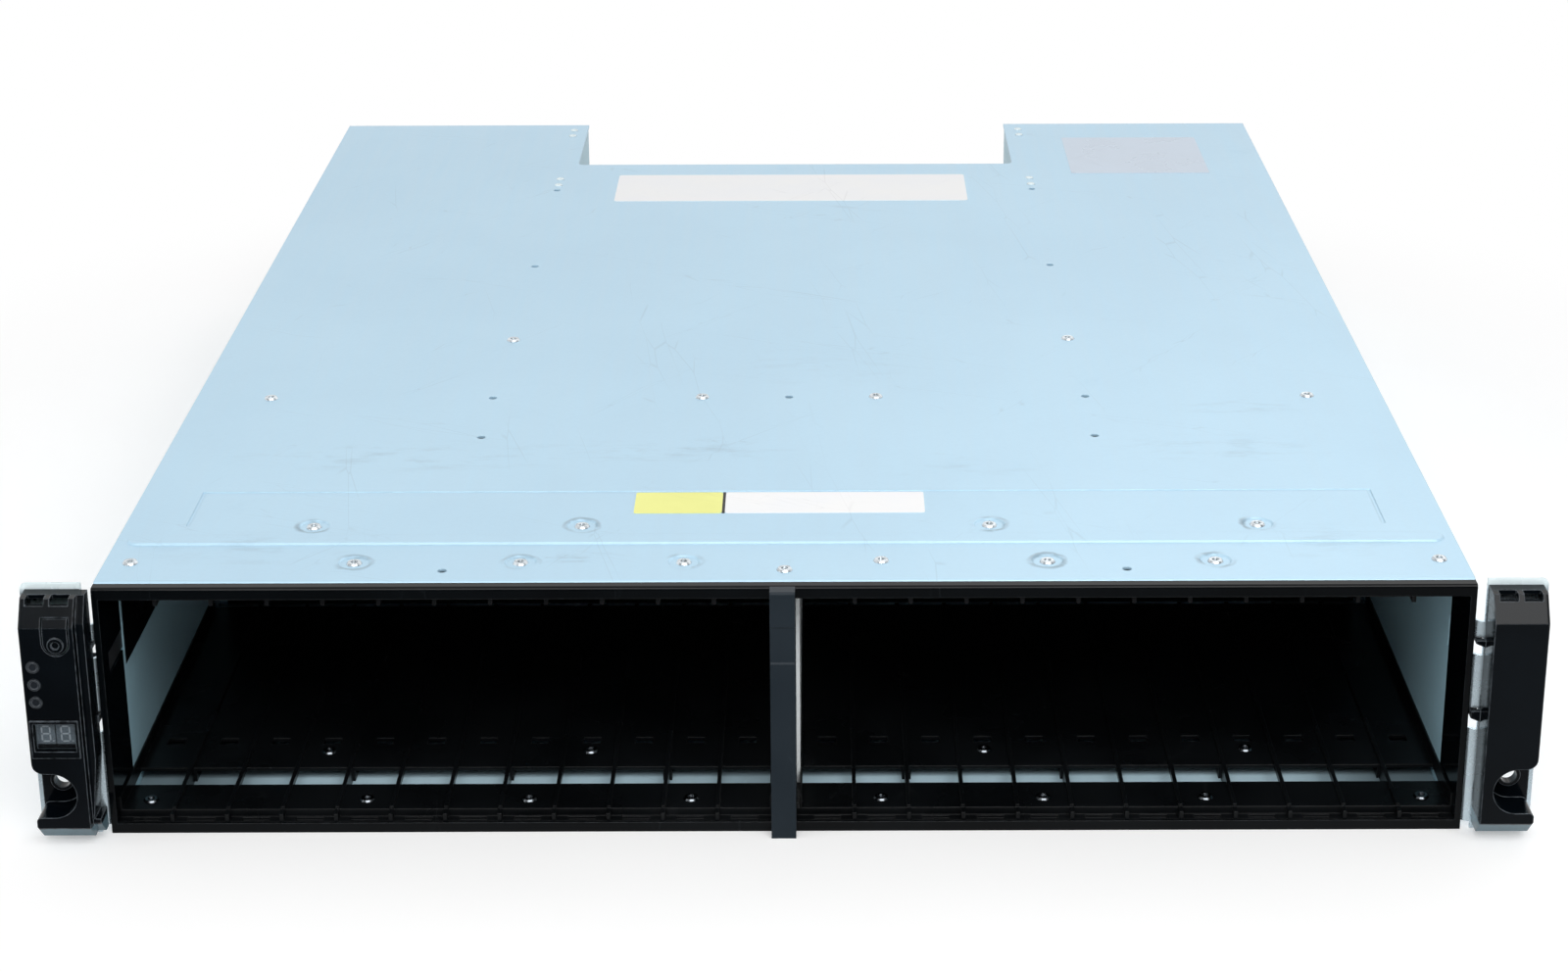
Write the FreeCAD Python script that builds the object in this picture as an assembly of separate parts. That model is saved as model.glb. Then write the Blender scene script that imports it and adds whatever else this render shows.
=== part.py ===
"""Two-unit rack disk shelf for twenty-four 2.5-inch drives, shown with its drive bays empty.

+X is to the right seen from the front, +Y runs to the rear and +Z is up, in millimetres.
The construction is laid out from the front plane of the body, and every piece is then
moved back by PLAN_CENTRE, so that the origin lies under the middle of the plan.
"""
import FreeCAD
import Part
import math
import os

# Body
BODY_WIDTH = 438.0
BODY_HEIGHT = 87.0
BODY_DEPTH = 556.0
SHEET = 1.0
LINER_SHEET = 1.0
FIT = 0.3
SLIDE_FIT = 0.5

# Rack flanges
FLANGE_REACH = 22.3
RACK_HOLE_INSET = 8.75
RACK_HOLE_RISE = 44.45
RACK_SLOT_WIDTH = 6.8
RACK_SLOT_LENGTH = 10.0
FLANGE_RISE = 1.6
FLANGE_BOTTOM = 0.5
BEND_RADIUS = 4.0
KNUCKLES = ((0.033, 0.415), (0.5, 0.715), (0.785, 0.85))

# Top cover
CAGE_DROP = 2.4
COVER_BEND = 1.2
BAND_DROP = 0.4
CUTOUT_DEPTH = 71.0
CUTOUT_CORNER = 3.0
HEM_DEPTH = 7.0
HEM_DROP = 0.6
RIDGE_INSET = 3.5
RIDGE_Y = 37.5
RIDGE_WIDTH = 8.0
RIDGE_HEIGHT = 0.7
RIDGE_SLOPE = 0.63
STEP_INSET = 21.0
STEP_Y = 78.5
STEP_LINE = 1.2
STEP_DEPTH = 0.3
SCREW_HEAD_RADIUS = 2.6
SCREW_HEAD_HEIGHT = 0.7
SCREW_SHANK_RADIUS = 1.3
HEAD_TAPER = 0.8
SCREW_BITE = 1.2
SOCKET_RADIUS = 1.1
SOCKET_DEPTH = 0.5
DIMPLE_RADIUS = 5.2
DIMPLE_DEPTH = 0.5
COVER_HOLE_RADIUS = 1.5
RIVET_RADIUS = 1.9
RIVET_HEIGHT = 0.4

# Fastener places on the cover
SCREW_EDGE_INSET = 8.5
FRONT_ROW_Y = 19.6
SECOND_ROW_Y = 49.8
PLAIN_ROW_Y = 12.6
RINGED_FRONT_X = (-138.5, -85.0, -32.5, 84.5, 138.5)
PLAIN_FRONT_X = 31.0
SECOND_ROW_X = (67.4, 156.2)
BRACKET_ROW_X = (32.0, 191.3)
BRACKET_HOLE_X = 109.4
AHEAD_ROW_Y = 131.0
WALL_SCREW_Y = 236.0
WALL_HOLE_YS = (330.0, 443.0)
WALL_RIVET_YS = (451.0, 461.0)
REAR_RIVET_SETBACKS = (20.0, 10.0)

# Front frame and drive bays
BAYS_PER_SIDE = 12
DIVIDER_WIDTH = 9.2
FRAME_FACE = 1.0
FLOOR_Z = 6.1
LEDGE_Z = 3.4
LEDGE_DEPTH = 3.6
RISER = 1.2
FRAME_LIP_TOP = 2.0
COLLAR_DEPTH = 26.0
GUIDE_PLATE = 1.2
GUIDE_RIB_WIDTH = 1.3
GUIDE_RIB_HEIGHT = 0.9
GUIDE_RIB_DROP = 2.4
RAIL_WIDTH = 0.65
RAIL_HEIGHT = 4.5
GUIDE_FOOT_WIDTH = 3.0
WINDOW_Y = 21.7
WINDOW_LENGTH = 12.0
LATCH_SLOT_WIDTH = 9.0
LATCH_SLOT_Y = 1.8
LATCH_SLOT_LENGTH = 2.2
LATCH_SLOT_DEPTH = 1.0
SMALL_SLOT_WIDTH = 6.0
SMALL_SLOT_Y = 51.0
SMALL_SLOT_LENGTH = 4.4
GUIDE_SCREW_FRONT_Y = 11.2
GUIDE_SCREW_REAR_Y = 45.5
GUIDE_SCREW_FRONT_BAYS = (1, 4, 7, 11)
GUIDE_SCREW_REAR_BAYS = (3, 8)
LINER_NOTCH_LOW = 52.8
LINER_NOTCH_HIGH = 63.9
LINER_NOTCH_DEPTH = 1.6
LINER_CHAMFER = 6.0
CABLE_COVER_LOW = 46.6
DIVIDER_SETBACK = 22.0
DIVIDER_CHAMFER = 8.0
BAR_WIDTH = 8.0
BAR_REACH = 5.0
BAR_OFFSET = -0.6
BAR_CHAMFER = 0.6
BAR_STEP_LOW = 62.0
BAR_STEP_HIGH = 74.8
BAR_STEP_DEPTH = 0.5

# Midplane
MIDPLANE_Y = 176.0
BOARD_THICKNESS = 2.4
BOARD_MARGIN = 3.0
BRACKET_FLANGE = 14.0
DRIVE_CONNECTOR_WIDTH = 5.0
DRIVE_CONNECTOR_HEIGHT = 42.0
DRIVE_CONNECTOR_DEPTH = 9.0
DRIVE_CONNECTOR_LIFT = 10.0
VENT_WIDTH = 8.0
VENT_HEIGHT = 12.0
CABLE_WIDTH = 7.0
CABLE_LOW = 53.6
CABLE_THICKNESS = 0.4

# Rear bays
PSU_WIDTH = 114.0
PSU_WALL_FLANGE = 10.0
HEM_WIDTH = 8.0
MODULE_FRONT = 200.0
MODULE_CONNECTOR_HEIGHT = 14.0

# End caps
CAP_EDGE_GAP = 1.6
CAP_WIDTH = 17.3
CAP_REACH = 12.5
CAP_TOP_GAP = 2.0
CAP_BOTTOM = 3.0
CAP_SHOULDER = 7.4
CAP_FACET_DROP = 8.0
CAP_WALL = 1.5
CAP_EDGE = 1.0
CAP_CORNER = 4.0
CAP_BACK = 1.2
CAP_BEVEL = 5.5
SKIRT_WIDTH = 2.6
SKIRT_REACH = 9.0
SKIRT_NOTCH_LOW = 10.0
SKIRT_NOTCH_HIGH = 34.0
SKIRT_NOTCH_DEPTH = 2.0
SCOOP_RADIUS = 7.8
SCOOP_FLOOR = 12.2
WELL_RADIUS = 2.6
WELL_RIM = 1.2
WELL_RIM_PROUD = 2.4
TAB_DEPTH = 2.0
TAB_LIFT = 3.0
TAB_SLANT = 1.8
CAP_SLOT_WIDTH = 5.8
CAP_SLOT_DEPTH = 3.4
CAP_SLOT_DROP = 2.0
CAP_HOOK_LIFT = 11.0
CAP_HOOK_DROP = 10.6
CAP_HOOK_HALF = 3.0
CAP_HOOK_BARB = 0.8
CAP_HOOK_HEAD = 1.2

# Left cap controls
BUTTON_INSET = 11.5
BUTTON_WIDTH = 7.8
BUTTON_DROP = 5.4
BUTTON_LENGTH = 11.6
BUTTON_GAP = 0.45
BUTTON_BOSS_LIFT = 3.3
BUTTON_BOSS_RADIUS = 2.5
BUTTON_BOSS_HEIGHT = 0.6
LIGHT_INSET = 3.7
LIGHT_DROP = 21.3
LIGHT_PITCH = 6.1
LIGHT_COUNT = 3
LIGHT_RADIUS = 1.9
LIGHT_DISH_RADIUS = 1.33
LIGHT_PROUD = 0.35
DISPLAY_INSET = 1.0
DISPLAY_WIDTH = 15.2
DISPLAY_DROP = 40.0
DISPLAY_HEIGHT = 13.0
DISPLAY_FRAME = 1.0
DISPLAY_CHIN = 2.4
DISPLAY_FRAME_PROUD = 0.4
DISPLAY_SINK = 0.5

# Power modules
PSU_REAR_SETBACK = 4.0
PSU_SHEET = 1.0
PSU_VENT_PAIRS = 4
PSU_FAN_MARGIN = 5.0
PSU_FAN_WALL = 2.0
PSU_FAN_DEPTH = 25.0
PSU_FAN_SIDE_GAP = 6.0
PSU_HUB_RADIUS = 14.0
PSU_BLADE_COUNT = 7
PSU_BLADE_TIP_GAP = 1.0
PSU_BLADE_THICKNESS = 1.6
PSU_BLADE_TILT = 38.0
PSU_BLADE_FILL = 0.8
PSU_SHAFT_RADIUS = 2.0
RUNNING_FIT = 0.05
GRILLE_HOLE_RADIUS = 2.2
GRILLE_PITCH = 5.6
PSU_FITTINGS_GAP = 18.0
INLET_WIDTH = 27.0
INLET_HEIGHT = 20.0
INLET_Z = 19.0
INLET_DEPTH = 22.0
INLET_FLANGE = 2.0
INLET_WALL = 2.0
INLET_PIN = 2.0
INLET_PIN_PITCH = 7.0
ROCKER_WIDTH = 11.0
ROCKER_HEIGHT = 18.0
ROCKER_Z = 46.0
ROCKER_RIM = 2.0
ROCKER_PROUD = 1.6
ROCKER_SWING = 12.0
ROCKER_FOOT = 0.7
PSU_COIL_SIZE = 22.0
PSU_COIL_HEIGHT = 30.0
PSU_CAN_RADIUS = 11.0
PSU_CAN_HEIGHT = 45.0
PSU_SINK_HEIGHT = 36.0
PSU_SINK_LENGTH = 60.0
PSU_BOARD_GAP = 12.0
HANDLE_BAR = 2.6
HANDLE_SPAN = 62.0
HANDLE_LENGTH = 46.0
HANDLE_DROP = 8.0
LUG_WIDTH = 4.0
LUG_REACH = 7.5
LUG_EDGE = 1.0
LATCH_WIDTH = 16.0
LATCH_HEIGHT = 9.0
LATCH_THICKNESS = 4.0
LATCH_TRAVEL = 3.0
LATCH_DROP = 9.0

# I/O modules
IO_SHEET = 1.0
IO_REAR_SETBACK = 72.0
IO_PORT_WIDTH = 17.0
IO_PORT_HEIGHT = 10.0
IO_PORT_DEPTH = 15.0
IO_PORT_WALL = 1.0
IO_PORT_PLACES = (-44.0, -20.0, 20.0, 44.0)
IO_PORT_Z = 24.0
IO_BOARD_LIFT = 3.0
IO_CHIP_SIZE = 38.0
IO_CHIP_HEIGHT = 2.5
IO_FIN_COUNT = 9
IO_VENT_RADIUS = 1.6
IO_VENT_PITCH = 4.6
LEVER_PIVOT_INSET = 10.0
LEVER_GAP = 13.5
LEVER_HEIGHT = 9.0
LEVER_THICKNESS = 3.0
LEVER_CAM_RADIUS = 5.5
LEVER_PIN_RADIUS = 2.0
LEVER_Z = 7.5
LEVER_EAR = 2.0

# Worked out from the sizes above
HALF = BODY_WIDTH / 2
INNER = HALF - SHEET
LINER = INNER - LINER_SHEET
BAY_PITCH = (LINER - DIVIDER_WIDTH / 2) / BAYS_PER_SIDE
COVER_UNDER = BODY_HEIGHT - SHEET
CAGE_TOP = BODY_HEIGHT - CAGE_DROP
COVER_FRONT = BEND_RADIUS
OPENING_TOP = CAGE_TOP - FRAME_LIP_TOP
RACK_HALF = HALF + FLANGE_REACH
RACK_HOLE_SPAN = 2 * (RACK_HALF - RACK_HOLE_INSET)
RIDGE_REACH = HALF - RIDGE_INSET
STEP_REACH = HALF - STEP_INSET
SCREW_EDGE_X = HALF - SCREW_EDGE_INSET
CAP_OUTER = RACK_HALF - CAP_EDGE_GAP
CAP_INNER = CAP_OUTER - CAP_WIDTH
BUTTON_X = CAP_OUTER - BUTTON_INSET
LIGHT_X = CAP_OUTER - LIGHT_INSET
FLANGE_TOP = BODY_HEIGHT + FLANGE_RISE
CAP_TOP = FLANGE_TOP - CAP_TOP_GAP
CAP_HOOK_LOW = CAP_BOTTOM + CAP_HOOK_LIFT
CAP_HOOK_HIGH = CAP_TOP - CAP_HOOK_DROP
CAP_HOOK_HEIGHTS = (CAP_HOOK_LOW, (CAP_HOOK_LOW + CAP_HOOK_HIGH) / 2, CAP_HOOK_HIGH)
BUTTON_HIGH = CAP_TOP - BUTTON_DROP
BUTTON_LOW = BUTTON_HIGH - BUTTON_LENGTH
BUTTON_BOSS_Z = BUTTON_LOW + BUTTON_BOSS_LIFT
LIGHT_HEIGHTS = tuple(CAP_TOP - LIGHT_DROP - LIGHT_PITCH * index for index in range(LIGHT_COUNT))
DISPLAY_HIGH = CAP_TOP - DISPLAY_DROP
DISPLAY_LOW = DISPLAY_HIGH - DISPLAY_HEIGHT
DISPLAY_LEFT = CAP_OUTER - DISPLAY_INSET
DISPLAY_RIGHT = DISPLAY_LEFT - DISPLAY_WIDTH
FLANGE_X = INNER + BEND_RADIUS
RACK_HOLE_ROWS = (BODY_HEIGHT / 2 - RACK_HOLE_RISE / 2, BODY_HEIGHT / 2 + RACK_HOLE_RISE / 2)
GUIDE_REAR = MIDPLANE_Y - BRACKET_FLANGE + BOARD_THICKNESS
BOARD_REAR = MIDPLANE_Y + BOARD_THICKNESS
BRACKET_REAR = BOARD_REAR + SHEET
CUTOUT_Y = BODY_DEPTH - CUTOUT_DEPTH
PSU_REAR = BODY_DEPTH - PSU_REAR_SETBACK
PSU_LOW = 2 * SHEET + SLIDE_FIT
PSU_HIGH = COVER_UNDER - SHEET - SLIDE_FIT
PSU_OUT = INNER - SLIDE_FIT
PSU_IN = PSU_OUT - PSU_WIDTH
PSU_WALL_X = PSU_IN - SLIDE_FIT - SHEET
PSU_FAN_RADIUS = (PSU_HIGH - PSU_LOW) / 2 - PSU_FAN_MARGIN - PSU_FAN_WALL
PSU_FAN_INSET = PSU_FAN_SIDE_GAP + PSU_FAN_WALL + PSU_FAN_RADIUS
PSU_FITTINGS_INSET = PSU_FAN_INSET + PSU_FAN_RADIUS + PSU_FAN_WALL + PSU_FITTINGS_GAP
LATCH_MIDDLE = PSU_HIGH - LATCH_DROP
IO_HALF = PSU_WALL_X - SLIDE_FIT
CUTOUT_WIDTH = 2 * IO_HALF
LEVER_LENGTH = IO_HALF - LEVER_PIVOT_INSET - LEVER_GAP
IO_REAR = BODY_DEPTH - IO_REAR_SETBACK
IO_HEIGHT = (COVER_UNDER - HEM_DROP - 2 * SHEET - 4 * SLIDE_FIT) / 2
SHELF_Z = SHEET + IO_HEIGHT + 2 * SLIDE_FIT
IO_LEVELS = (SHEET + SLIDE_FIT, SHELF_Z + SHEET + SLIDE_FIT)
HANDLE_Y = PSU_REAR + LUG_REACH - HANDLE_BAR - LUG_EDGE
REAR_REACH = HANDLE_Y + HANDLE_BAR + LUG_EDGE
FRONT_REACH = CAP_REACH + max(DISPLAY_FRAME_PROUD, BUTTON_BOSS_HEIGHT, LIGHT_PROUD)
PLAN_CENTRE = (REAR_REACH - FRONT_REACH) / 2
BRACKET_ROW_Y = BOARD_REAR - BRACKET_FLANGE / 2
WALL_ROW_X = PSU_WALL_X + SHEET + PSU_WALL_FLANGE / 2
RIVET_YS = WALL_RIVET_YS + tuple(BODY_DEPTH - setback for setback in REAR_RIVET_SETBACKS)
GUIDE_SCREW_ROWS = ((GUIDE_SCREW_FRONT_Y, GUIDE_SCREW_FRONT_BAYS),
                    (GUIDE_SCREW_REAR_Y, GUIDE_SCREW_REAR_BAYS))
TINY = 0.01

PARTS = {}


def keep(name, shape):
    """Hold a finished piece under its own name."""
    PARTS[name] = shape


def box(x, y, z):
    """A block from three (low, high) pairs, in either order."""
    spans = [sorted(pair) for pair in (x, y, z)]
    size = [high - low for low, high in spans]
    corner = FreeCAD.Vector(spans[0][0], spans[1][0], spans[2][0])
    return Part.makeBox(size[0], size[1], size[2], corner)


def rod(radius, start, end):
    """A round bar between two points."""
    foot = FreeCAD.Vector(*start)
    axis = FreeCAD.Vector(*end) - foot
    return Part.makeCylinder(radius, axis.Length, foot, axis)


def slab(points, height):
    """A plane outline pushed out along a vector."""
    corners = [FreeCAD.Vector(*point) for point in points]
    face = Part.Face(Part.makePolygon(corners + corners[:1]))
    return face.extrude(FreeCAD.Vector(*height))


def joined(shapes):
    """Fuse shapes into one solid with clean faces."""
    first, rest = shapes[0], shapes[1:]
    return first.fuse(rest).removeSplitter() if rest else first


def without(shape, tools):
    """Cut a list of tools out of a shape."""
    return shape.cut(Part.makeCompound(tools)) if tools else shape


def group(shapes):
    """Separate solids kept together in one piece."""
    return Part.makeCompound(shapes)


def mirrored(shape):
    """The same piece on the other side of the middle plane."""
    return shape.mirror(FreeCAD.Vector(0, 0, 0), FreeCAD.Vector(1, 0, 0))


def turned(shape, centre, axis, degrees):
    """A copy turned about an axis through a point."""
    copy = shape.copy()
    copy.rotate(FreeCAD.Vector(*centre), FreeCAD.Vector(*axis), degrees)
    return copy


def moved(shape, x, y, z):
    """A copy moved along a vector."""
    copy = shape.copy()
    copy.translate(FreeCAD.Vector(x, y, z))
    return copy


def tube(outer, inner, start, end):
    """A round tube between two points."""
    return rod(outer, start, end).cut(rod(inner, start, end))


def obround_y(x, z, length, width, y):
    """A slot through a plate that faces the front, long along X."""
    reach = (length - width) / 2
    ends = [rod(width / 2, (x + side * reach, y[0], z), (x + side * reach, y[1], z)) for side in (-1, 1)]
    middle = box((x - reach, x + reach), y, (z - width / 2, z + width / 2))
    return joined(ends + [middle])


def bay_edges():
    """The lines between neighbouring bays on the right-hand side."""
    return [DIVIDER_WIDTH / 2 + BAY_PITCH * index for index in range(1, BAYS_PER_SIDE)]


def bay_middle(index):
    """The middle of one bay on the right-hand side, counted from the divider."""
    return DIVIDER_WIDTH / 2 + BAY_PITCH * (index + 0.5)


def bay_centres():
    """The middle of every bay, left and right."""
    right = [bay_middle(index) for index in range(BAYS_PER_SIDE)]
    return [-x for x in reversed(right)] + right


# ---------------------------------------------------------------- fastener places on the cover
def cover_dimples():
    """Screws that sit in a pressed ring."""
    front = [(x, FRONT_ROW_Y) for x in RINGED_FRONT_X]
    second = [(side * x, SECOND_ROW_Y) for side in (-1, 1) for x in SECOND_ROW_X]
    return front + second


def cover_plain_screws():
    """Screws that sit flat on the sheet."""
    corners = [(side * SCREW_EDGE_X, FRONT_ROW_Y) for side in (-1, 1)]
    bracket = [(side * x, BRACKET_ROW_Y) for side in (-1, 1) for x in BRACKET_ROW_X]
    walls = [(side * WALL_ROW_X, WALL_SCREW_Y) for side in (-1, 1)]
    return corners + bracket + walls + [(0.0, PLAIN_ROW_Y), (PLAIN_FRONT_X, FRONT_ROW_Y)]


def cover_holes():
    """Open holes in the sheet."""
    front = [(side * BRACKET_HOLE_X, PLAIN_ROW_Y) for side in (-1, 1)]
    bracket = [(x, BRACKET_ROW_Y) for x in (-BRACKET_HOLE_X, 0.0, BRACKET_HOLE_X)]
    ahead = [(side * BRACKET_HOLE_X, AHEAD_ROW_Y) for side in (-1, 1)]
    walls = [(side * WALL_ROW_X, y) for side in (-1, 1) for y in WALL_HOLE_YS]
    return front + bracket + ahead + walls


def cover_rivets():
    """Flush rivets that hold the rear bay walls."""
    return [(side * WALL_ROW_X, y) for side in (-1, 1) for y in RIVET_YS]


# ---------------------------------------------------------------- sheet-metal body
def bottom_panel():
    """Flat floor of the body, behind the front frame."""
    plate = box((-HALF, HALF), (FRAME_FACE, BODY_DEPTH), (0, SHEET))
    return plate


def side_wall():
    """Right side wall with its rack flange, bent out round a row of knuckles."""
    wall = box((INNER, HALF), (BEND_RADIUS, BODY_DEPTH), (SHEET, COVER_UNDER))
    wall = wall.cut(box((INNER, HALF), (COVER_FRONT, COVER_FRONT + COVER_BEND),
                        (BODY_HEIGHT - COVER_BEND, COVER_UNDER)))
    hem_y = (BRACKET_REAR + SLIDE_FIT, BODY_DEPTH - SHEET)
    low_hem = box((INNER - HEM_WIDTH, INNER), hem_y, (SHEET, 2 * SHEET))
    high_hem = box((INNER - HEM_WIDTH, INNER), hem_y, (COVER_UNDER - SHEET, COVER_UNDER))
    flange = box((FLANGE_X, RACK_HALF), (0, SHEET), (FLANGE_BOTTOM, FLANGE_TOP))
    outer_corner = [edge for edge in flange.Edges
                    if edge.Curve.TypeId == "Part::GeomLine"
                    and abs(edge.BoundBox.XMin - RACK_HALF) < TINY
                    and edge.BoundBox.YLength > SHEET / 2]
    flange = flange.makeFillet(2 * SHEET, outer_corner)
    pieces = [wall, low_hem, high_hem, flange]
    for low, high in KNUCKLES:
        z = (low * BODY_HEIGHT, high * BODY_HEIGHT)
        axis = [(FLANGE_X, BEND_RADIUS, height) for height in z]
        ring = tube(BEND_RADIUS, BEND_RADIUS - SHEET, axis[0], axis[1])
        quarter = box((INNER, FLANGE_X), (0, BEND_RADIUS), z)
        pieces.append(ring.common(quarter))
    shape = joined(pieces)
    cuts = []
    for row in RACK_HOLE_ROWS:
        through = (-SHEET, 2 * SHEET)
        cuts.append(obround_y(RACK_HOLE_SPAN / 2, row, RACK_SLOT_LENGTH, RACK_SLOT_WIDTH, through))
    for z in CAP_HOOK_HEIGHTS:
        cuts.append(box((CAP_INNER, CAP_INNER + CAP_WALL + FIT), (-SHEET, 2 * SHEET),
                        (z - CAP_HOOK_HALF - FIT, z + CAP_HOOK_HALF + FIT)))
    return without(shape, cuts)


def left_side_wall():
    """Left wall: the mirror image, with openings for the display cable."""
    z = cable_span()
    flange_x = cable_flange_x()
    through_flange = box((-flange_x - 2 * FIT, -flange_x + 2 * FIT), (-SHEET, 2 * SHEET),
                         (z[0] - FIT, z[1] + FIT))
    y = cable_turn_y()
    through_wall = box((-HALF - SHEET, -INNER + SHEET), (y - 2 * FIT, y + CABLE_THICKNESS + 2 * FIT),
                       (z[0] - FIT, z[1] + FIT))
    return without(mirrored(side_wall()), [through_flange, through_wall])


def top_cover():
    """Top sheet: a front edge bent down, a pressed ridge, a shallow step and the rear cut-out."""
    centre_y = COVER_FRONT + COVER_BEND
    centre_z = BODY_HEIGHT - COVER_BEND
    sheet = box((-HALF, HALF), (centre_y, BODY_DEPTH), (COVER_UNDER, BODY_HEIGHT))
    ring = tube(COVER_BEND, COVER_BEND - SHEET, (-HALF, centre_y, centre_z), (HALF, centre_y, centre_z))
    bend = ring.common(box((-HALF, HALF), (COVER_FRONT, centre_y), (centre_z, BODY_HEIGHT)))
    ridge_reach = RIDGE_REACH - RIDGE_WIDTH / 2
    ridge_body = box((-ridge_reach, ridge_reach), (RIDGE_Y - RIDGE_WIDTH / 2, RIDGE_Y + RIDGE_WIDTH / 2),
                     (BODY_HEIGHT, BODY_HEIGHT + RIDGE_HEIGHT))
    ridge_ends = [rod(RIDGE_WIDTH / 2, (side * ridge_reach, RIDGE_Y, BODY_HEIGHT),
                      (side * ridge_reach, RIDGE_Y, BODY_HEIGHT + RIDGE_HEIGHT)) for side in (-1, 1)]
    ridge = joined([ridge_body] + ridge_ends)
    crest = [edge for edge in ridge.Edges
             if edge.BoundBox.ZMin > BODY_HEIGHT + RIDGE_HEIGHT - TINY]
    ridge = ridge.makeChamfer(RIDGE_SLOPE, crest)
    hem_y = (CUTOUT_Y - HEM_DEPTH, CUTOUT_Y - FIT)
    hem = box((-CUTOUT_WIDTH / 2, CUTOUT_WIDTH / 2), hem_y, (COVER_UNDER - HEM_DROP, COVER_UNDER))
    shape = joined([sheet, bend, ridge, hem])
    opening = box((-CUTOUT_WIDTH / 2, CUTOUT_WIDTH / 2), (CUTOUT_Y, BODY_DEPTH + SHEET),
                  (COVER_UNDER - SHEET, BODY_HEIGHT + SHEET))
    corners = [edge for edge in opening.Edges
               if edge.BoundBox.ZLength > SHEET and edge.BoundBox.YMax < CUTOUT_Y + SHEET]
    cuts = [opening.makeFillet(CUTOUT_CORNER, corners)]
    line_z = (BODY_HEIGHT - STEP_DEPTH, BODY_HEIGHT + SHEET)
    cuts.append(box((-STEP_REACH, STEP_REACH), (STEP_Y, STEP_Y + STEP_LINE), line_z))
    for side in (-1, 1):
        x = side * STEP_REACH
        cuts.append(box((x - STEP_LINE / 2, x + STEP_LINE / 2), (SECOND_ROW_Y, STEP_Y + STEP_LINE), line_z))
    for x, y in cover_dimples():
        cuts.append(Part.makeCone(DIMPLE_RADIUS - DIMPLE_DEPTH, DIMPLE_RADIUS + SHEET, DIMPLE_DEPTH + SHEET,
                                  FreeCAD.Vector(x, y, BODY_HEIGHT - DIMPLE_DEPTH)))
    for x, y in cover_holes():
        cuts.append(rod(COVER_HOLE_RADIUS, (x, y, 0), (x, y, BODY_HEIGHT + SHEET)))
    for x, y in cover_dimples() + cover_plain_screws():
        cuts.append(rod(SCREW_SHANK_RADIUS, (x, y, COVER_UNDER - SHEET), (x, y, BODY_HEIGHT + SHEET)))
    for x, y in cover_rivets():
        cuts.append(rod(SCREW_SHANK_RADIUS, (x, y, COVER_UNDER - SHEET), (x, y, BODY_HEIGHT + SHEET)))
    return without(shape, cuts)


def screw(x, y, seat, down):
    """A low round-headed screw with a round socket, standing on a face."""
    foot = FreeCAD.Vector(x, y, seat)
    head = Part.makeCone(SCREW_HEAD_RADIUS, SCREW_HEAD_RADIUS * HEAD_TAPER, SCREW_HEAD_HEIGHT, foot)
    shank = rod(SCREW_SHANK_RADIUS, (x, y, seat - down), (x, y, seat))
    crown = seat + SCREW_HEAD_HEIGHT
    socket = rod(SOCKET_RADIUS, (x, y, crown - SOCKET_DEPTH), (x, y, crown))
    return head.fuse(shank).removeSplitter().cut(socket)


def cover_screws():
    """All screws in the top cover, as separate solids."""
    low = BODY_HEIGHT - DIMPLE_DEPTH
    ringed = [screw(x, y, low, SHEET - DIMPLE_DEPTH + SCREW_BITE) for x, y in cover_dimples()]
    plain = [screw(x, y, BODY_HEIGHT, SHEET + SCREW_BITE) for x, y in cover_plain_screws()]
    return group(ringed + plain)


def rivet(x, y):
    """A flush rivet with a shallow hollow in its head."""
    seat = FreeCAD.Vector(x, y, BODY_HEIGHT)
    head = Part.makeCone(RIVET_RADIUS, RIVET_RADIUS * HEAD_TAPER, RIVET_HEIGHT, seat)
    shank = rod(SCREW_SHANK_RADIUS, (x, y, COVER_UNDER - SHEET), (x, y, BODY_HEIGHT))
    return head.fuse(shank).removeSplitter()


# ---------------------------------------------------------------- drive cage
def front_frame():
    """Black frame round the drive opening, with side collars and a band ahead of the cover."""
    face = box((-HALF, HALF), (0, FRAME_FACE), (0, CAGE_TOP))
    opening = box((-LINER, LINER), (-FRAME_FACE, 2 * FRAME_FACE), (LEDGE_Z, OPENING_TOP))
    face = face.cut(opening)
    band = box((-HALF, HALF), (0, COVER_FRONT), (CAGE_TOP, BODY_HEIGHT - BAND_DROP))
    crest = [edge for edge in band.Edges
             if edge.BoundBox.YMax < TINY and edge.BoundBox.ZMin > BODY_HEIGHT - BAND_DROP - TINY]
    band = band.makeFillet(COVER_BEND, crest)
    shelf = box((FIT - INNER, INNER - FIT), (COVER_FRONT, COVER_FRONT + SHEET),
                (CAGE_TOP, BODY_HEIGHT - COVER_BEND))
    collars = [box((side * LINER, side * INNER), (FRAME_FACE, COLLAR_DEPTH), (SHEET, OPENING_TOP))
               for side in (-1, 1)]
    span = cable_span()
    relief = box((-LINER, -INNER), (cable_turn_y() - 2 * FIT, COLLAR_DEPTH), (span[0] - FIT, span[1] + FIT))
    return without(joined([face, band, shelf] + collars), [relief])


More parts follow.
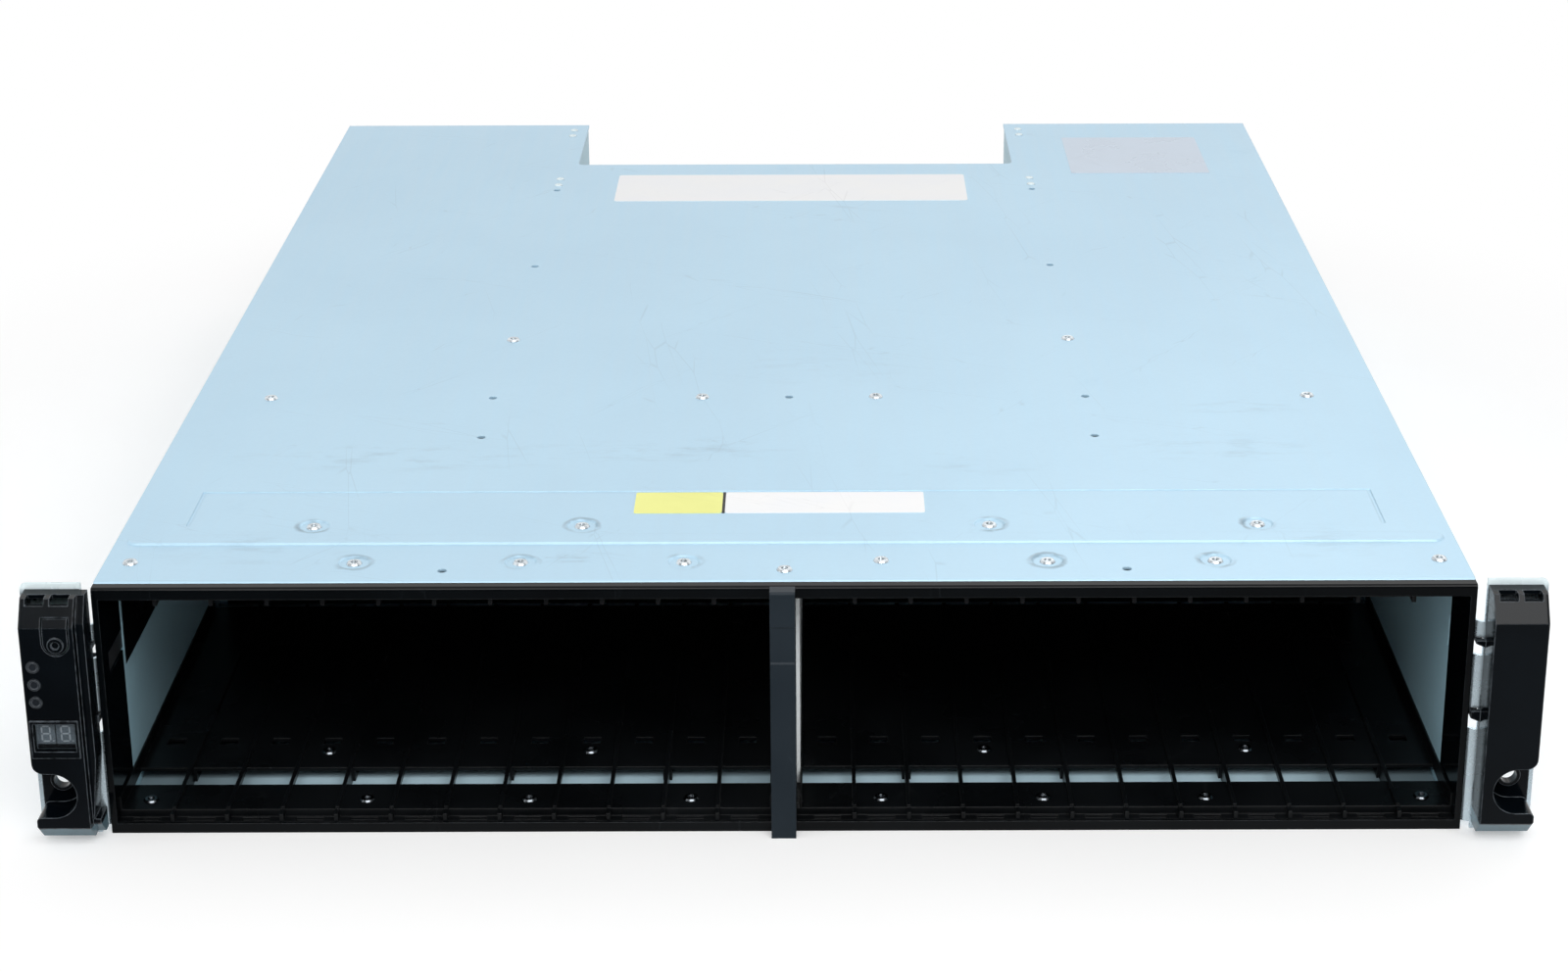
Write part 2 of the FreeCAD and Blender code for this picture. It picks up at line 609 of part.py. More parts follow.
def drive_guide_bottom():
    """Moulded floor of the bays: a low front ledge, then a plate on feet with ribs, rails and windows."""
    step = FRAME_FACE + LEDGE_DEPTH
    y = (step, GUIDE_REAR)
    ledge = box((-LINER, LINER), (FRAME_FACE, step), (SHEET, LEDGE_Z))
    riser = box((-LINER, LINER), (step, step + RISER), (SHEET, FLOOR_Z))
    plate = box((-LINER, LINER), y, (FLOOR_Z - GUIDE_PLATE, FLOOR_Z))
    feet_x = [0.0] + [side * x for side in (-1, 1) for x in bay_edges()[1::3]]
    foot_z = (SHEET, FLOOR_Z - GUIDE_PLATE)
    feet = [box((x - GUIDE_FOOT_WIDTH / 2, x + GUIDE_FOOT_WIDTH / 2), y, foot_z) for x in feet_x]
    ribs = []
    for x in bay_edges():
        for side in (-1, 1):
            across = (side * x - GUIDE_RIB_WIDTH / 2, side * x + GUIDE_RIB_WIDTH / 2)
            ribs.append(box(across, y, (FLOOR_Z, FLOOR_Z + GUIDE_RIB_HEIGHT)))
            ribs.append(box(across, (FRAME_FACE, step), (LEDGE_Z, FLOOR_Z)))
    for side in (-1, 1):
        for x in (LINER - RAIL_WIDTH, DIVIDER_WIDTH / 2):
            ribs.append(box((side * x, side * (x + RAIL_WIDTH)), y, (FLOOR_Z, FLOOR_Z + RAIL_HEIGHT)))
    shape = joined([ledge, riser, plate] + feet + ribs)
    cuts = []
    window = (BAY_PITCH - GUIDE_RIB_WIDTH) / 2
    for x in bay_centres():
        cuts.append(box((x - window, x + window), (WINDOW_Y, WINDOW_Y + WINDOW_LENGTH), (SHEET, FLOOR_Z)))
        cuts.append(box((x - LATCH_SLOT_WIDTH / 2, x + LATCH_SLOT_WIDTH / 2),
                        (LATCH_SLOT_Y, LATCH_SLOT_Y + LATCH_SLOT_LENGTH),
                        (LEDGE_Z - LATCH_SLOT_DEPTH, LEDGE_Z)))
        cuts.append(box((x - SMALL_SLOT_WIDTH / 2, x + SMALL_SLOT_WIDTH / 2),
                        (SMALL_SLOT_Y, SMALL_SLOT_Y + SMALL_SLOT_LENGTH), (SHEET, FLOOR_Z)))
    for x, y_row in guide_screw_places():
        cuts.append(rod(SCREW_SHANK_RADIUS, (x, y_row, FLOOR_Z - GUIDE_PLATE), (x, y_row, FLOOR_Z + SHEET)))
        cuts.append(rod(SCREW_HEAD_RADIUS + FIT, (x, y_row, FLOOR_Z), (x, y_row, FLOOR_Z + 2 * SHEET)))
    return without(shape, cuts)


def guide_screw_places():
    """The screws that hold the lower guide, each in the middle of a bay."""
    places = []
    for y, bays in GUIDE_SCREW_ROWS:
        places += [(side * bay_middle(index), y) for side in (-1, 1) for index in bays]
    return places


def guide_screws():
    """All screws in the lower guide."""
    return group([screw(x, y, FLOOR_Z, GUIDE_PLATE) for x, y in guide_screw_places()])


def drive_guide_top():
    """Moulded ceiling of the bays, with a rib that hangs at each bay edge."""
    y = (FRAME_FACE, GUIDE_REAR)
    bend_end = COVER_FRONT + 2 * COVER_BEND
    plate = box((-LINER, LINER), (bend_end, GUIDE_REAR), (CAGE_TOP, COVER_UNDER))
    front = box((-LINER, LINER), (COVER_FRONT + SHEET, bend_end), (CAGE_TOP, COVER_UNDER - HEM_DROP))
    edges = [side * x for side in (-1, 1) for x in bay_edges()]
    rib_z = (OPENING_TOP - GUIDE_RIB_DROP, CAGE_TOP)
    ribs = [box((x - GUIDE_RIB_WIDTH / 2, x + GUIDE_RIB_WIDTH / 2), y, rib_z) for x in edges]
    shape = joined([plate, front] + ribs)
    shanks = [rod(SCREW_SHANK_RADIUS + FIT, (x, y_row, CAGE_TOP - SHEET), (x, y_row, COVER_UNDER + SHEET))
              for x, y_row in cover_dimples() + cover_plain_screws() if y_row < GUIDE_REAR]
    return without(shape, shanks)


def liner(opened):
    """Grey side liner of the cage, cut back at its top front corner and notched in front."""
    low, high = SHEET, CAGE_TOP
    outline = [(LINER, COLLAR_DEPTH, low), (LINER, GUIDE_REAR, low), (LINER, GUIDE_REAR, high),
               (LINER, COLLAR_DEPTH + LINER_CHAMFER, high), (LINER, COLLAR_DEPTH, high - LINER_CHAMFER)]
    plate = slab(outline, (LINER_SHEET, 0, 0))
    notch = box((LINER - SHEET, INNER + SHEET), (COLLAR_DEPTH - SHEET, COLLAR_DEPTH + LINER_NOTCH_DEPTH),
                (LINER_NOTCH_LOW, LINER_NOTCH_HIGH))
    cuts = [notch]
    if opened:
        cuts += [cable_cover_space(0.0), cable_channel()]
    return without(plate, cuts)


def cable_cover_space(gap):
    """The upper field of the left liner that the cable cover fills, drawn on the right-hand side."""
    y = (COLLAR_DEPTH + LINER_CHAMFER - 2 * LINER_NOTCH_DEPTH + gap, GUIDE_REAR - LINER_CHAMFER - gap)
    return box((LINER, INNER), y, (CABLE_COVER_LOW + gap, CAGE_TOP - LINER_CHAMFER - gap))


def cable_channel():
    """The shallow way for the display cable behind the liner and its cover, on the right-hand side."""
    z = cable_span()
    return box((INNER - CABLE_THICKNESS - FIT / 2, INNER), (COLLAR_DEPTH, MIDPLANE_Y),
               (z[0] - FIT, z[1] + FIT))


def cable_span():
    """Height range of the flat display cable."""
    return (CABLE_LOW, CABLE_LOW + CABLE_WIDTH)


def cable_flange_x():
    """Where the display cable passes the flange, on the inner side of the left cap."""
    return CAP_INNER + CAP_WALL + 2 * SHEET


def cable_turn_y():
    """Where the display cable enters the body."""
    return 2 * BEND_RADIUS


def display_cable_cover():
    """Black strip that fills the open field of the left liner and hides the cable."""
    return mirrored(cable_cover_space(FIT).cut(cable_channel()))


def display_ribbon():
    """Flat cable from the left cap through the flange and the wall to the midplane."""
    z = cable_span()
    t = CABLE_THICKNESS
    x = -cable_flange_x()
    y = cable_turn_y()
    inside = -INNER + FIT / 3
    front = display_board_front() + BOARD_THICKNESS / 2
    runs = [box((x - t / 2, x + t / 2), (front, y + t), z),
            box((x - t / 2, inside + t), (y, y + t), z),
            box((inside, inside + t), (y, MIDPLANE_Y - FIT), z)]
    return joined(runs)


def centre_divider():
    """Bent sheet channel between the two groups of bays."""
    half = DIVIDER_WIDTH / 2
    low, high = FLOOR_Z, CAGE_TOP
    outline = [(0, DIVIDER_SETBACK, low), (0, GUIDE_REAR, low), (0, GUIDE_REAR, high),
               (0, DIVIDER_SETBACK + DIVIDER_CHAMFER / 2, high),
               (0, DIVIDER_SETBACK, high - DIVIDER_CHAMFER)]
    block = moved(slab(outline, (DIVIDER_WIDTH, 0, 0)), -half, 0, 0)
    hollow = box((-half + SHEET, half - SHEET), (DIVIDER_SETBACK + SHEET, GUIDE_REAR + SHEET),
                 (low - SHEET, high + SHEET))
    return block.cut(hollow)


def centre_bar():
    """Dark trim bar over the middle of the opening, from the bottom lip to the cover."""
    half = BAR_WIDTH / 2
    top = BODY_HEIGHT - FIT
    outline = [(0, 0, 0), (0, -BAR_REACH, 0), (0, -BAR_REACH, BAR_STEP_LOW),
               (0, -BAR_REACH + BAR_STEP_DEPTH, BAR_STEP_LOW + BAR_STEP_DEPTH),
               (0, -BAR_REACH + BAR_STEP_DEPTH, BAR_STEP_HIGH - BAR_STEP_DEPTH),
               (0, -BAR_REACH, BAR_STEP_HIGH), (0, -BAR_REACH, top - BAR_CHAMFER),
               (0, -BAR_REACH + BAR_CHAMFER, top), (0, 0, top)]
    front = moved(slab(outline, (BAR_WIDTH, 0, 0)), BAR_OFFSET - half, 0, 0)
    tongue = box((BAR_OFFSET - half, BAR_OFFSET + half), (0, DIVIDER_SETBACK), (FLOOR_Z, OPENING_TOP))
    return joined([front, tongue])


# ---------------------------------------------------------------- midplane
def vent_places():
    """Air holes above the drive connectors."""
    z = OPENING_TOP - VENT_HEIGHT
    return [(x, z) for x in bay_centres()]


def module_connector_places():
    """Rear connectors: one block for each power module and each I/O module."""
    psu_x = (PSU_IN + PSU_OUT) / 2
    middle = (PSU_LOW + PSU_HIGH) / 2
    io = [(0.0, level + IO_HEIGHT / 2, 3 * MODULE_CONNECTOR_HEIGHT) for level in IO_LEVELS]
    return [(-psu_x, middle, 2 * MODULE_CONNECTOR_HEIGHT), (psu_x, middle, 2 * MODULE_CONNECTOR_HEIGHT)] + io


def midplane_board():
    """Circuit board across the whole body, with an air hole behind each bay."""
    board = box((-LINER + BOARD_MARGIN, LINER - BOARD_MARGIN), (MIDPLANE_Y, BOARD_REAR),
                (2 * SHEET, CAGE_TOP))
    cuts = [box((x - VENT_WIDTH / 2, x + VENT_WIDTH / 2), (MIDPLANE_Y - SHEET, BOARD_REAR + SHEET),
                (z, z + VENT_HEIGHT / 2)) for x, z in vent_places()]
    return without(board, cuts)


def midplane_bracket():
    """Steel plate that carries the board, with flanges to the cover and the floor."""
    half = INNER - FIT
    plate = box((-half, half), (BOARD_REAR, BRACKET_REAR), (SHEET, COVER_UNDER))
    high = box((-half, half), (BRACKET_REAR - BRACKET_FLANGE, BRACKET_REAR),
               (COVER_UNDER - SHEET, COVER_UNDER))
    shape = joined([plate, high])
    through = (BOARD_REAR - SHEET, BRACKET_REAR + SHEET)
    cuts = [box((x - VENT_WIDTH / 2, x + VENT_WIDTH / 2), through, (z, z + VENT_HEIGHT / 2))
            for x, z in vent_places()]
    reach = MODULE_CONNECTOR_HEIGHT / 2 + SHEET
    for x, z, width in module_connector_places():
        cuts.append(box((x - width / 2 - SHEET, x + width / 2 + SHEET), through, (z - reach, z + reach)))
    fastened = [(x, y) for x, y in cover_plain_screws() + cover_holes()
                if BRACKET_REAR - BRACKET_FLANGE < y < BRACKET_REAR]
    return without(shape, cuts + flange_holes(fastened))


def flange_holes(places):
    """Clearance holes through a flange that lies under the cover."""
    low, high = COVER_UNDER - 2 * SHEET, COVER_UNDER + SHEET
    return [rod(SCREW_SHANK_RADIUS + FIT, (x, y, low), (x, y, high)) for x, y in places]


def drive_connectors():
    """One upright socket per bay, with a slot down its front."""
    sockets = []
    low = FLOOR_Z + DRIVE_CONNECTOR_LIFT
    for x in bay_centres():
        half = DRIVE_CONNECTOR_WIDTH / 2
        body = box((x - half, x + half), (MIDPLANE_Y - DRIVE_CONNECTOR_DEPTH, MIDPLANE_Y),
                   (low, low + DRIVE_CONNECTOR_HEIGHT))
        slot = box((x - half / 2, x + half / 2), (MIDPLANE_Y - DRIVE_CONNECTOR_DEPTH, MIDPLANE_Y - SHEET),
                   (low + 2 * SHEET, low + DRIVE_CONNECTOR_HEIGHT - 2 * SHEET))
        sockets.append(body.cut(slot))
    return group(sockets)


def module_connectors():
    """Plug blocks on the rear of the board, reaching to the modules."""
    blocks = []
    for x, z, width in module_connector_places():
        blocks.append(box((x - width / 2, x + width / 2), (BOARD_REAR, MODULE_FRONT - SLIDE_FIT),
                          (z - MODULE_CONNECTOR_HEIGHT / 2, z + MODULE_CONNECTOR_HEIGHT / 2)))
    return group(blocks)


# ---------------------------------------------------------------- rear bays
def psu_bay_wall():
    """Right wall between the I/O bay and a power bay, with a flange under the cover."""
    wall = box((PSU_WALL_X, PSU_WALL_X + SHEET), (BRACKET_REAR, BODY_DEPTH), (SHEET, COVER_UNDER))
    x = (PSU_WALL_X, PSU_WALL_X + SHEET + PSU_WALL_FLANGE)
    y = (BRACKET_REAR + SHEET, BODY_DEPTH - SHEET)
    flange = box(x, y, (COVER_UNDER - SHEET, COVER_UNDER))
    foot = box(x, y, (SHEET, 2 * SHEET))
    fastened = [(across, along) for across, along in cover_plain_screws() + cover_holes() + cover_rivets()
                if across > PSU_WALL_X and along > BRACKET_REAR]
    return without(joined([wall, flange, foot]), flange_holes(fastened))


def canister_shelf():
    """Sheet shelf between the upper and the lower I/O module."""
    return box((-PSU_WALL_X, PSU_WALL_X), (BRACKET_REAR, IO_REAR - 2 * SHEET), (SHELF_Z, SHELF_Z + SHEET))


# ---------------------------------------------------------------- end caps
def cap_outline(grow):
    """Side outline of a cap in the YZ plane, drawn in by a wall thickness where grow is negative."""
    top = CAP_TOP + grow
    front = -CAP_REACH - grow
    low = CAP_BOTTOM - grow
    facet = CAP_TOP - CAP_FACET_DROP + grow / 2
    bevel = CAP_BOTTOM + CAP_BEVEL - grow / 2
    return [(0, 0, low), (0, -CAP_REACH + CAP_BEVEL - grow / 2, low), (0, front, bevel), (0, front, facet),
            (0, -CAP_SHOULDER - grow / 2, top), (0, 0, top)]


def scoop_top():
    """Height of the ceiling of the recess below the main body of a cap."""
    return SCOOP_FLOOR + 2 * SCOOP_RADIUS


def scoop_centre():
    """Middle of the round end of the recess."""
    return (CAP_INNER + CAP_WALL + SCOOP_RADIUS + 2 * CAP_EDGE, SCOOP_FLOOR + SCOOP_RADIUS)


def cap_shell():
    """Right cap: a moulded hood that stands on the flange, open at the back, with the lower recess."""
    width = CAP_WIDTH
    body = moved(slab(cap_outline(0), (width, 0, 0)), CAP_INNER, 0, 0)
    rim = [edge for edge in body.Edges
           if edge.BoundBox.XLength < TINY
           and edge.BoundBox.YMax < -TINY
           and abs(edge.BoundBox.XMin - CAP_OUTER) < TINY]
    body = body.makeFillet(CAP_EDGE, rim)
    hollow = moved(slab(cap_outline(-CAP_WALL), (width - 2 * CAP_WALL, 0, 0)), CAP_INNER + CAP_WALL, 0, 0)
    solid_foot = box((CAP_INNER, CAP_OUTER), (-CAP_REACH, 0), (CAP_BOTTOM, scoop_top() + CAP_WALL))
    shell = body.cut(hollow.cut(solid_foot))
    return shell.cut(scoop()).cut(corner_relief())


def scoop():
    """The recess over the rack screw: round towards the body, open towards the outside and the front."""
    x, z = scoop_centre()
    y = (-CAP_REACH - SHEET, -CAP_BACK)
    round_end = rod(SCOOP_RADIUS, (x, y[0], z), (x, y[1], z))
    open_end = box((x, CAP_OUTER + SHEET), y, (z - SCOOP_RADIUS, z + SCOOP_RADIUS))
    hole = [(RACK_HOLE_SPAN / 2, depth, RACK_HOLE_ROWS[0]) for depth in (-CAP_REACH, SHEET)]
    rim = tube(WELL_RADIUS + WELL_RIM, WELL_RADIUS, (hole[0][0], -CAP_BACK - WELL_RIM_PROUD, hole[0][2]),
               (hole[0][0], -CAP_BACK, hole[0][2]))
    well = rod(WELL_RADIUS, hole[0], hole[1])
    return joined([round_end, open_end]).cut(rim).fuse(well)


def corner_relief():
    """Rounds the lower outer corner of the main body and the outer end of the foot."""
    high = scoop_top()
    corner = box((CAP_OUTER - CAP_CORNER, CAP_OUTER + SHEET), (-CAP_REACH - SHEET, -CAP_BACK),
                 (high - SHEET, high + CAP_CORNER))
    round_high = rod(CAP_CORNER, (CAP_OUTER - CAP_CORNER, -CAP_REACH - SHEET, high + CAP_CORNER),
                     (CAP_OUTER - CAP_CORNER, -CAP_BACK, high + CAP_CORNER))
    foot_radius = CAP_CORNER / 2
    foot = box((CAP_OUTER - foot_radius, CAP_OUTER + SHEET), (-CAP_REACH - SHEET, -CAP_BACK),
               (SCOOP_FLOOR - foot_radius, SCOOP_FLOOR + SHEET))
    round_low = rod(foot_radius, (CAP_OUTER - foot_radius, -CAP_REACH - SHEET, SCOOP_FLOOR - foot_radius),
                    (CAP_OUTER - foot_radius, -CAP_BACK, SCOOP_FLOOR - foot_radius))
    return group([corner.cut(round_high), foot.cut(round_low)])


def cap_slots():
    """Two air slots over the shoulder of a cap."""
    width = CAP_WIDTH
    gap = (width - 2 * CAP_SLOT_WIDTH) / 3
    slots = []
    for index in range(2):
        x = CAP_INNER + gap + index * (CAP_SLOT_WIDTH + gap)
        slots.append(box((x, x + CAP_SLOT_WIDTH),
                         (-CAP_SHOULDER - CAP_SLOT_DROP, -CAP_SHOULDER + CAP_SLOT_DEPTH),
                         (CAP_TOP - CAP_SLOT_DROP, CAP_TOP + SHEET)))
    return slots


def cap_hooks():
    """Snap hooks on the inner wall of a cap that reach through the flange and spread behind it."""
    x = (CAP_INNER + FIT, CAP_INNER + CAP_WALL)
    hooks = []
    for z in CAP_HOOK_HEIGHTS:
        stem = box(x, (-2 * CAP_BACK, SHEET + FIT + CAP_HOOK_HEAD), (z - CAP_HOOK_HALF, z + CAP_HOOK_HALF))
        reach = CAP_HOOK_HALF + CAP_HOOK_BARB
        head = box(x, (SHEET + FIT, SHEET + FIT + CAP_HOOK_HEAD), (z - reach, z + reach))
        hooks += [stem, head]
    return hooks


def cap_tabs():
    """Tongues on the inner wall of a cap that reach into the notches between the knuckles."""
    tabs = []
    for below, above in zip(KNUCKLES[:-1], KNUCKLES[1:]):
        high = above[0] * BODY_HEIGHT - FIT
        low = below[1] * BODY_HEIGHT + TAB_LIFT
        near, far = HALF + FIT, CAP_INNER + SHEET
        outline = [(near, -TAB_DEPTH, low + TAB_SLANT), (far, -TAB_DEPTH, low),
                   (far, -TAB_DEPTH, high), (near, -TAB_DEPTH, high)]
        tab = slab(outline, (0, TAB_DEPTH + BEND_RADIUS - 2 * FIT, 0))
        behind = box((FLANGE_X - FIT, far + SHEET), (0, BEND_RADIUS), (low - SHEET, high + SHEET))
        tabs.append(tab.cut(behind))
    return tabs


def end_cap():
    """Plain right cap."""
    return without(joined([cap_shell()] + cap_hooks() + cap_tabs()), cap_slots())


def button_outline(gap):
    """The push tongue: straight sides, round lower end, drawn on the left-hand side."""
    half = BUTTON_WIDTH / 2 + gap
    low = BUTTON_LOW - gap + half
    y = (-CAP_REACH - SHEET, -CAP_REACH + CAP_FACET_DROP)
    round_end = rod(half, (-BUTTON_X, y[0], low), (-BUTTON_X, y[1], low))
    straight = box((-BUTTON_X - half, -BUTTON_X + half), y, (low, BUTTON_HIGH + gap * 2 / 3))
    return joined([round_end, straight])


def cap_skin():
    """The full wall of the left cap with no openings, from which the push tongue is cut."""
    width = CAP_WIDTH
    body = moved(slab(cap_outline(0), (width, 0, 0)), CAP_INNER, 0, 0)
    hollow = moved(slab(cap_outline(-CAP_WALL), (width - 2 * CAP_WALL, 0, 0)), CAP_INNER + CAP_WALL, 0, 0)
    return mirrored(body.cut(hollow))


def id_button():
    """Push tongue with a round boss on its face."""
    tongue = cap_skin().common(button_outline(0.0))
    ends = [(-BUTTON_X, -CAP_REACH + depth, BUTTON_BOSS_Z) for depth in (-BUTTON_BOSS_HEIGHT, SHEET / 2)]
    boss = tube(BUTTON_BOSS_RADIUS, BUTTON_BOSS_RADIUS / 2, ends[0], ends[1])
    return joined([tongue, boss])


def display_frame_spans():
    """Width and height ranges of the raised display frame."""
    return ((-DISPLAY_LEFT, -DISPLAY_RIGHT), (DISPLAY_LOW, DISPLAY_HIGH))


def display_spans(gap):
    """Width and height ranges of the opening in the display frame, drawn in by a gap."""
    inset = DISPLAY_FRAME + gap
    return ((-DISPLAY_LEFT + inset, -DISPLAY_RIGHT - inset),
            (DISPLAY_LOW + DISPLAY_CHIN + gap, DISPLAY_HIGH - inset))


def cap_skirt():
    """Skirt beside the cap that closes the gap towards the body, with a slanted notch low down."""
    inner = CAP_INNER - SKIRT_WIDTH
    outline = [(inner, -FIT, CAP_BOTTOM), (inner, -SKIRT_REACH + CAP_BEVEL, CAP_BOTTOM),
               (inner, -SKIRT_REACH, CAP_BOTTOM + CAP_BEVEL), (inner, -SKIRT_REACH, CAP_TOP - CAP_FACET_DROP),
               (inner, -SKIRT_REACH / 2, CAP_TOP), (inner, -FIT, CAP_TOP)]
    plate = slab(outline, (SKIRT_WIDTH, 0, 0))
    start = -SKIRT_REACH - FIT
    notch = [(inner - FIT, start, SKIRT_NOTCH_HIGH), (inner - FIT, start, SKIRT_NOTCH_LOW),
             (inner + SKIRT_NOTCH_DEPTH, start, SKIRT_NOTCH_LOW)]
    return plate.cut(slab(notch, (0, SKIRT_REACH + FIT, 0)))


def end_cap_left():
    """Left cap with the push tongue, three status lights, the display and a skirt."""
    shell = mirrored(joined([end_cap(), cap_skirt()]))
    x, z = display_frame_spans()
    frame = box(x, (-CAP_REACH - DISPLAY_FRAME_PROUD, -CAP_REACH + CAP_WALL), z)
    shape = joined([shell, frame])
    x, z = display_spans(0.0)
    cuts = [box(x, (-CAP_REACH - 2 * SHEET, -CAP_REACH + 2 * CAP_WALL), z), button_outline(BUTTON_GAP)]
    for height in LIGHT_HEIGHTS:
        cuts.append(rod(LIGHT_RADIUS + FIT / 3, (-LIGHT_X, -CAP_REACH - SHEET, height),
                        (-LIGHT_X, -CAP_REACH + 2 * CAP_WALL, height)))
    return without(shape, cuts)


def status_lights():
    """Three round light guides in the face of the left cap."""
    lights = []
    back = display_board_front()
    for height in LIGHT_HEIGHTS:
        start = (-LIGHT_X, -CAP_REACH - LIGHT_PROUD, height)
        guide = rod(LIGHT_RADIUS, start, (-LIGHT_X, back, height))
        dish = rod(LIGHT_DISH_RADIUS, start, (-LIGHT_X, -CAP_REACH, height))
        lights.append(guide.cut(dish))
    return group(lights)


def display_board_front():
    """Front face of the small board inside the left cap."""
    return -CAP_REACH + 3 * CAP_WALL


def display_board():
    """Circuit board of the left cap, with the switch behind the push tongue."""
    x = (-CAP_OUTER + CAP_WALL + FIT, -CAP_INNER - CAP_WALL - FIT)
    z = (scoop_top() + CAP_WALL + FIT, BUTTON_HIGH - SHEET)
    y = display_board_front()
    board = box(x, (y, y + BOARD_THICKNESS / 2), z)
    switch_half = SOCKET_RADIUS
    switch = box((-BUTTON_X - switch_half, -BUTTON_X + switch_half), (-CAP_REACH + CAP_WALL + 4 * FIT, y),
                 (BUTTON_LOW + switch_half, BUTTON_LOW + 3 * switch_half))
    return group([board, switch])


def display_module():
    """Two-digit display block behind the window."""
    x, z = display_spans(FIT)
    y = (-CAP_REACH + DISPLAY_SINK + SHEET, display_board_front())
    return box(x, y, z)


def display_window():
    """Thin clear cover in the display frame."""
    x, z = display_spans(0.0)
    return box(x, (-CAP_REACH + DISPLAY_SINK, -CAP_REACH + DISPLAY_SINK + SHEET), z)


# ---------------------------------------------------------------- power modules
def psu_x(inset):
    """Place across the right-hand power module, counted from its inner side."""
    return PSU_IN + inset


def fan_centre():
    """Middle of the fan opening of the right-hand power module."""
    return (psu_x(PSU_FAN_INSET), (PSU_LOW + PSU_HIGH) / 2)


def grille_holes(centre, radius, hole, pitch, y):
    """Round holes on a staggered grid within a circle."""
    holes = []
    rise = pitch * math.sqrt(3) / 2
    rows = int(radius / rise)
    for row in range(-rows, rows + 1):
        shift = pitch / 2 if row % 2 else 0.0
        columns = int(radius / pitch) + 1
        for column in range(-columns, columns + 1):
            across = column * pitch + shift
            up = row * rise
            if math.hypot(across, up) + hole <= radius:
                x = centre[0] + across
                z = centre[1] + up
                holes.append(rod(hole, (x, y[0], z), (x, y[1], z)))
    return holes


def psu_casing():
    """Sheet box of the right power module, with fan grille, fitting openings, vents and handle lugs."""
    outer = box((PSU_IN, PSU_OUT), (MODULE_FRONT, PSU_REAR), (PSU_LOW, PSU_HIGH))
    t = PSU_SHEET
    inner = box((PSU_IN + t, PSU_OUT - t), (MODULE_FRONT + t, PSU_REAR - t), (PSU_LOW + t, PSU_HIGH - t))
    shell = outer.cut(inner)
    face = (PSU_REAR - 2 * t, PSU_REAR + t)
    cuts = grille_holes(fan_centre(), PSU_FAN_RADIUS - PSU_FAN_WALL, GRILLE_HOLE_RADIUS, GRILLE_PITCH, face)
    x = psu_x(PSU_FITTINGS_INSET)
    cuts.append(box((x - INLET_WIDTH / 2, x + INLET_WIDTH / 2), face,
                    (PSU_LOW + INLET_Z - INLET_HEIGHT / 2, PSU_LOW + INLET_Z + INLET_HEIGHT / 2)))
    cuts.append(box((x - ROCKER_WIDTH / 2, x + ROCKER_WIDTH / 2), face,
                    (PSU_LOW + ROCKER_Z - ROCKER_HEIGHT / 2, PSU_LOW + ROCKER_Z + ROCKER_HEIGHT / 2)))
    middle = (PSU_IN + PSU_OUT) / 2
    front = (MODULE_FRONT - t, MODULE_FRONT + 2 * t)
    for index in range(-PSU_VENT_PAIRS, PSU_VENT_PAIRS + 1):
        slot = middle + index * VENT_HEIGHT
        cuts.append(box((slot - VENT_WIDTH / 2, slot + VENT_WIDTH / 2), front,
                        (PSU_HIGH - 2 * VENT_HEIGHT, PSU_HIGH - VENT_HEIGHT)))
    half = MODULE_CONNECTOR_HEIGHT + SHEET
    reach = MODULE_CONNECTOR_HEIGHT / 2 + SHEET
    centre_z = (PSU_LOW + PSU_HIGH) / 2
    cuts.append(box((middle - half, middle + half), front, (centre_z - reach, centre_z + reach)))
    return without(joined([shell] + handle_lugs()), cuts + [latch_recess()])


def handle_places():
    """Outer faces of the two legs of the pull handle, and its pivot height."""
    x = fan_centre()[0]
    return (x - HANDLE_SPAN / 2, x + HANDLE_SPAN / 2, PSU_HIGH - HANDLE_DROP)


def handle_lugs():
    """Two ears that carry the pull handle."""
    left, right, z = handle_places()
    lugs = []
    for x in (left - LUG_WIDTH - FIT, right + FIT):
        lug = HANDLE_BAR + LUG_EDGE
        plate = box((x, x + LUG_WIDTH), (PSU_REAR, HANDLE_Y), (z - lug, z + lug))
        nose = rod(lug, (x, HANDLE_Y, z), (x + LUG_WIDTH, HANDLE_Y, z))
        bore = rod(PSU_SHAFT_RADIUS + RUNNING_FIT, (x - SHEET, HANDLE_Y, z),
                   (x + LUG_WIDTH + SHEET, HANDLE_Y, z))
        lugs.append(joined([plate, nose]).cut(bore))
    return lugs


def psu_handle():
    """Pull handle that hangs from its pins in front of the fan grille."""
    left, right, z = handle_places()
    low = z - HANDLE_LENGTH
    legs = [box((x, x + 2 * HANDLE_BAR), (HANDLE_Y - HANDLE_BAR, HANDLE_Y + HANDLE_BAR), (low, z))
            for x in (left, right - 2 * HANDLE_BAR)]
    eyes = [rod(HANDLE_BAR, (x, HANDLE_Y, z), (x + 2 * HANDLE_BAR, HANDLE_Y, z))
            for x in (left, right - 2 * HANDLE_BAR)]
    grip = rod(HANDLE_BAR, (left, HANDLE_Y, low), (right, HANDLE_Y, low))
    pins = [rod(PSU_SHAFT_RADIUS, (left - LUG_WIDTH, HANDLE_Y, z), (left, HANDLE_Y, z)),
            rod(PSU_SHAFT_RADIUS, (right, HANDLE_Y, z), (right + LUG_WIDTH, HANDLE_Y, z))]
    return joined(legs + eyes + [grip] + pins)


def latch_spans():
    """Place of the latch slider on the rear face: widths, depths and heights."""
    outer = PSU_OUT - 2 * PSU_SHEET
    return ((outer - LATCH_WIDTH, outer), (PSU_REAR + FIT, PSU_REAR + FIT + LATCH_THICKNESS),
            (LATCH_MIDDLE - LATCH_HEIGHT / 2, LATCH_MIDDLE + LATCH_HEIGHT / 2))


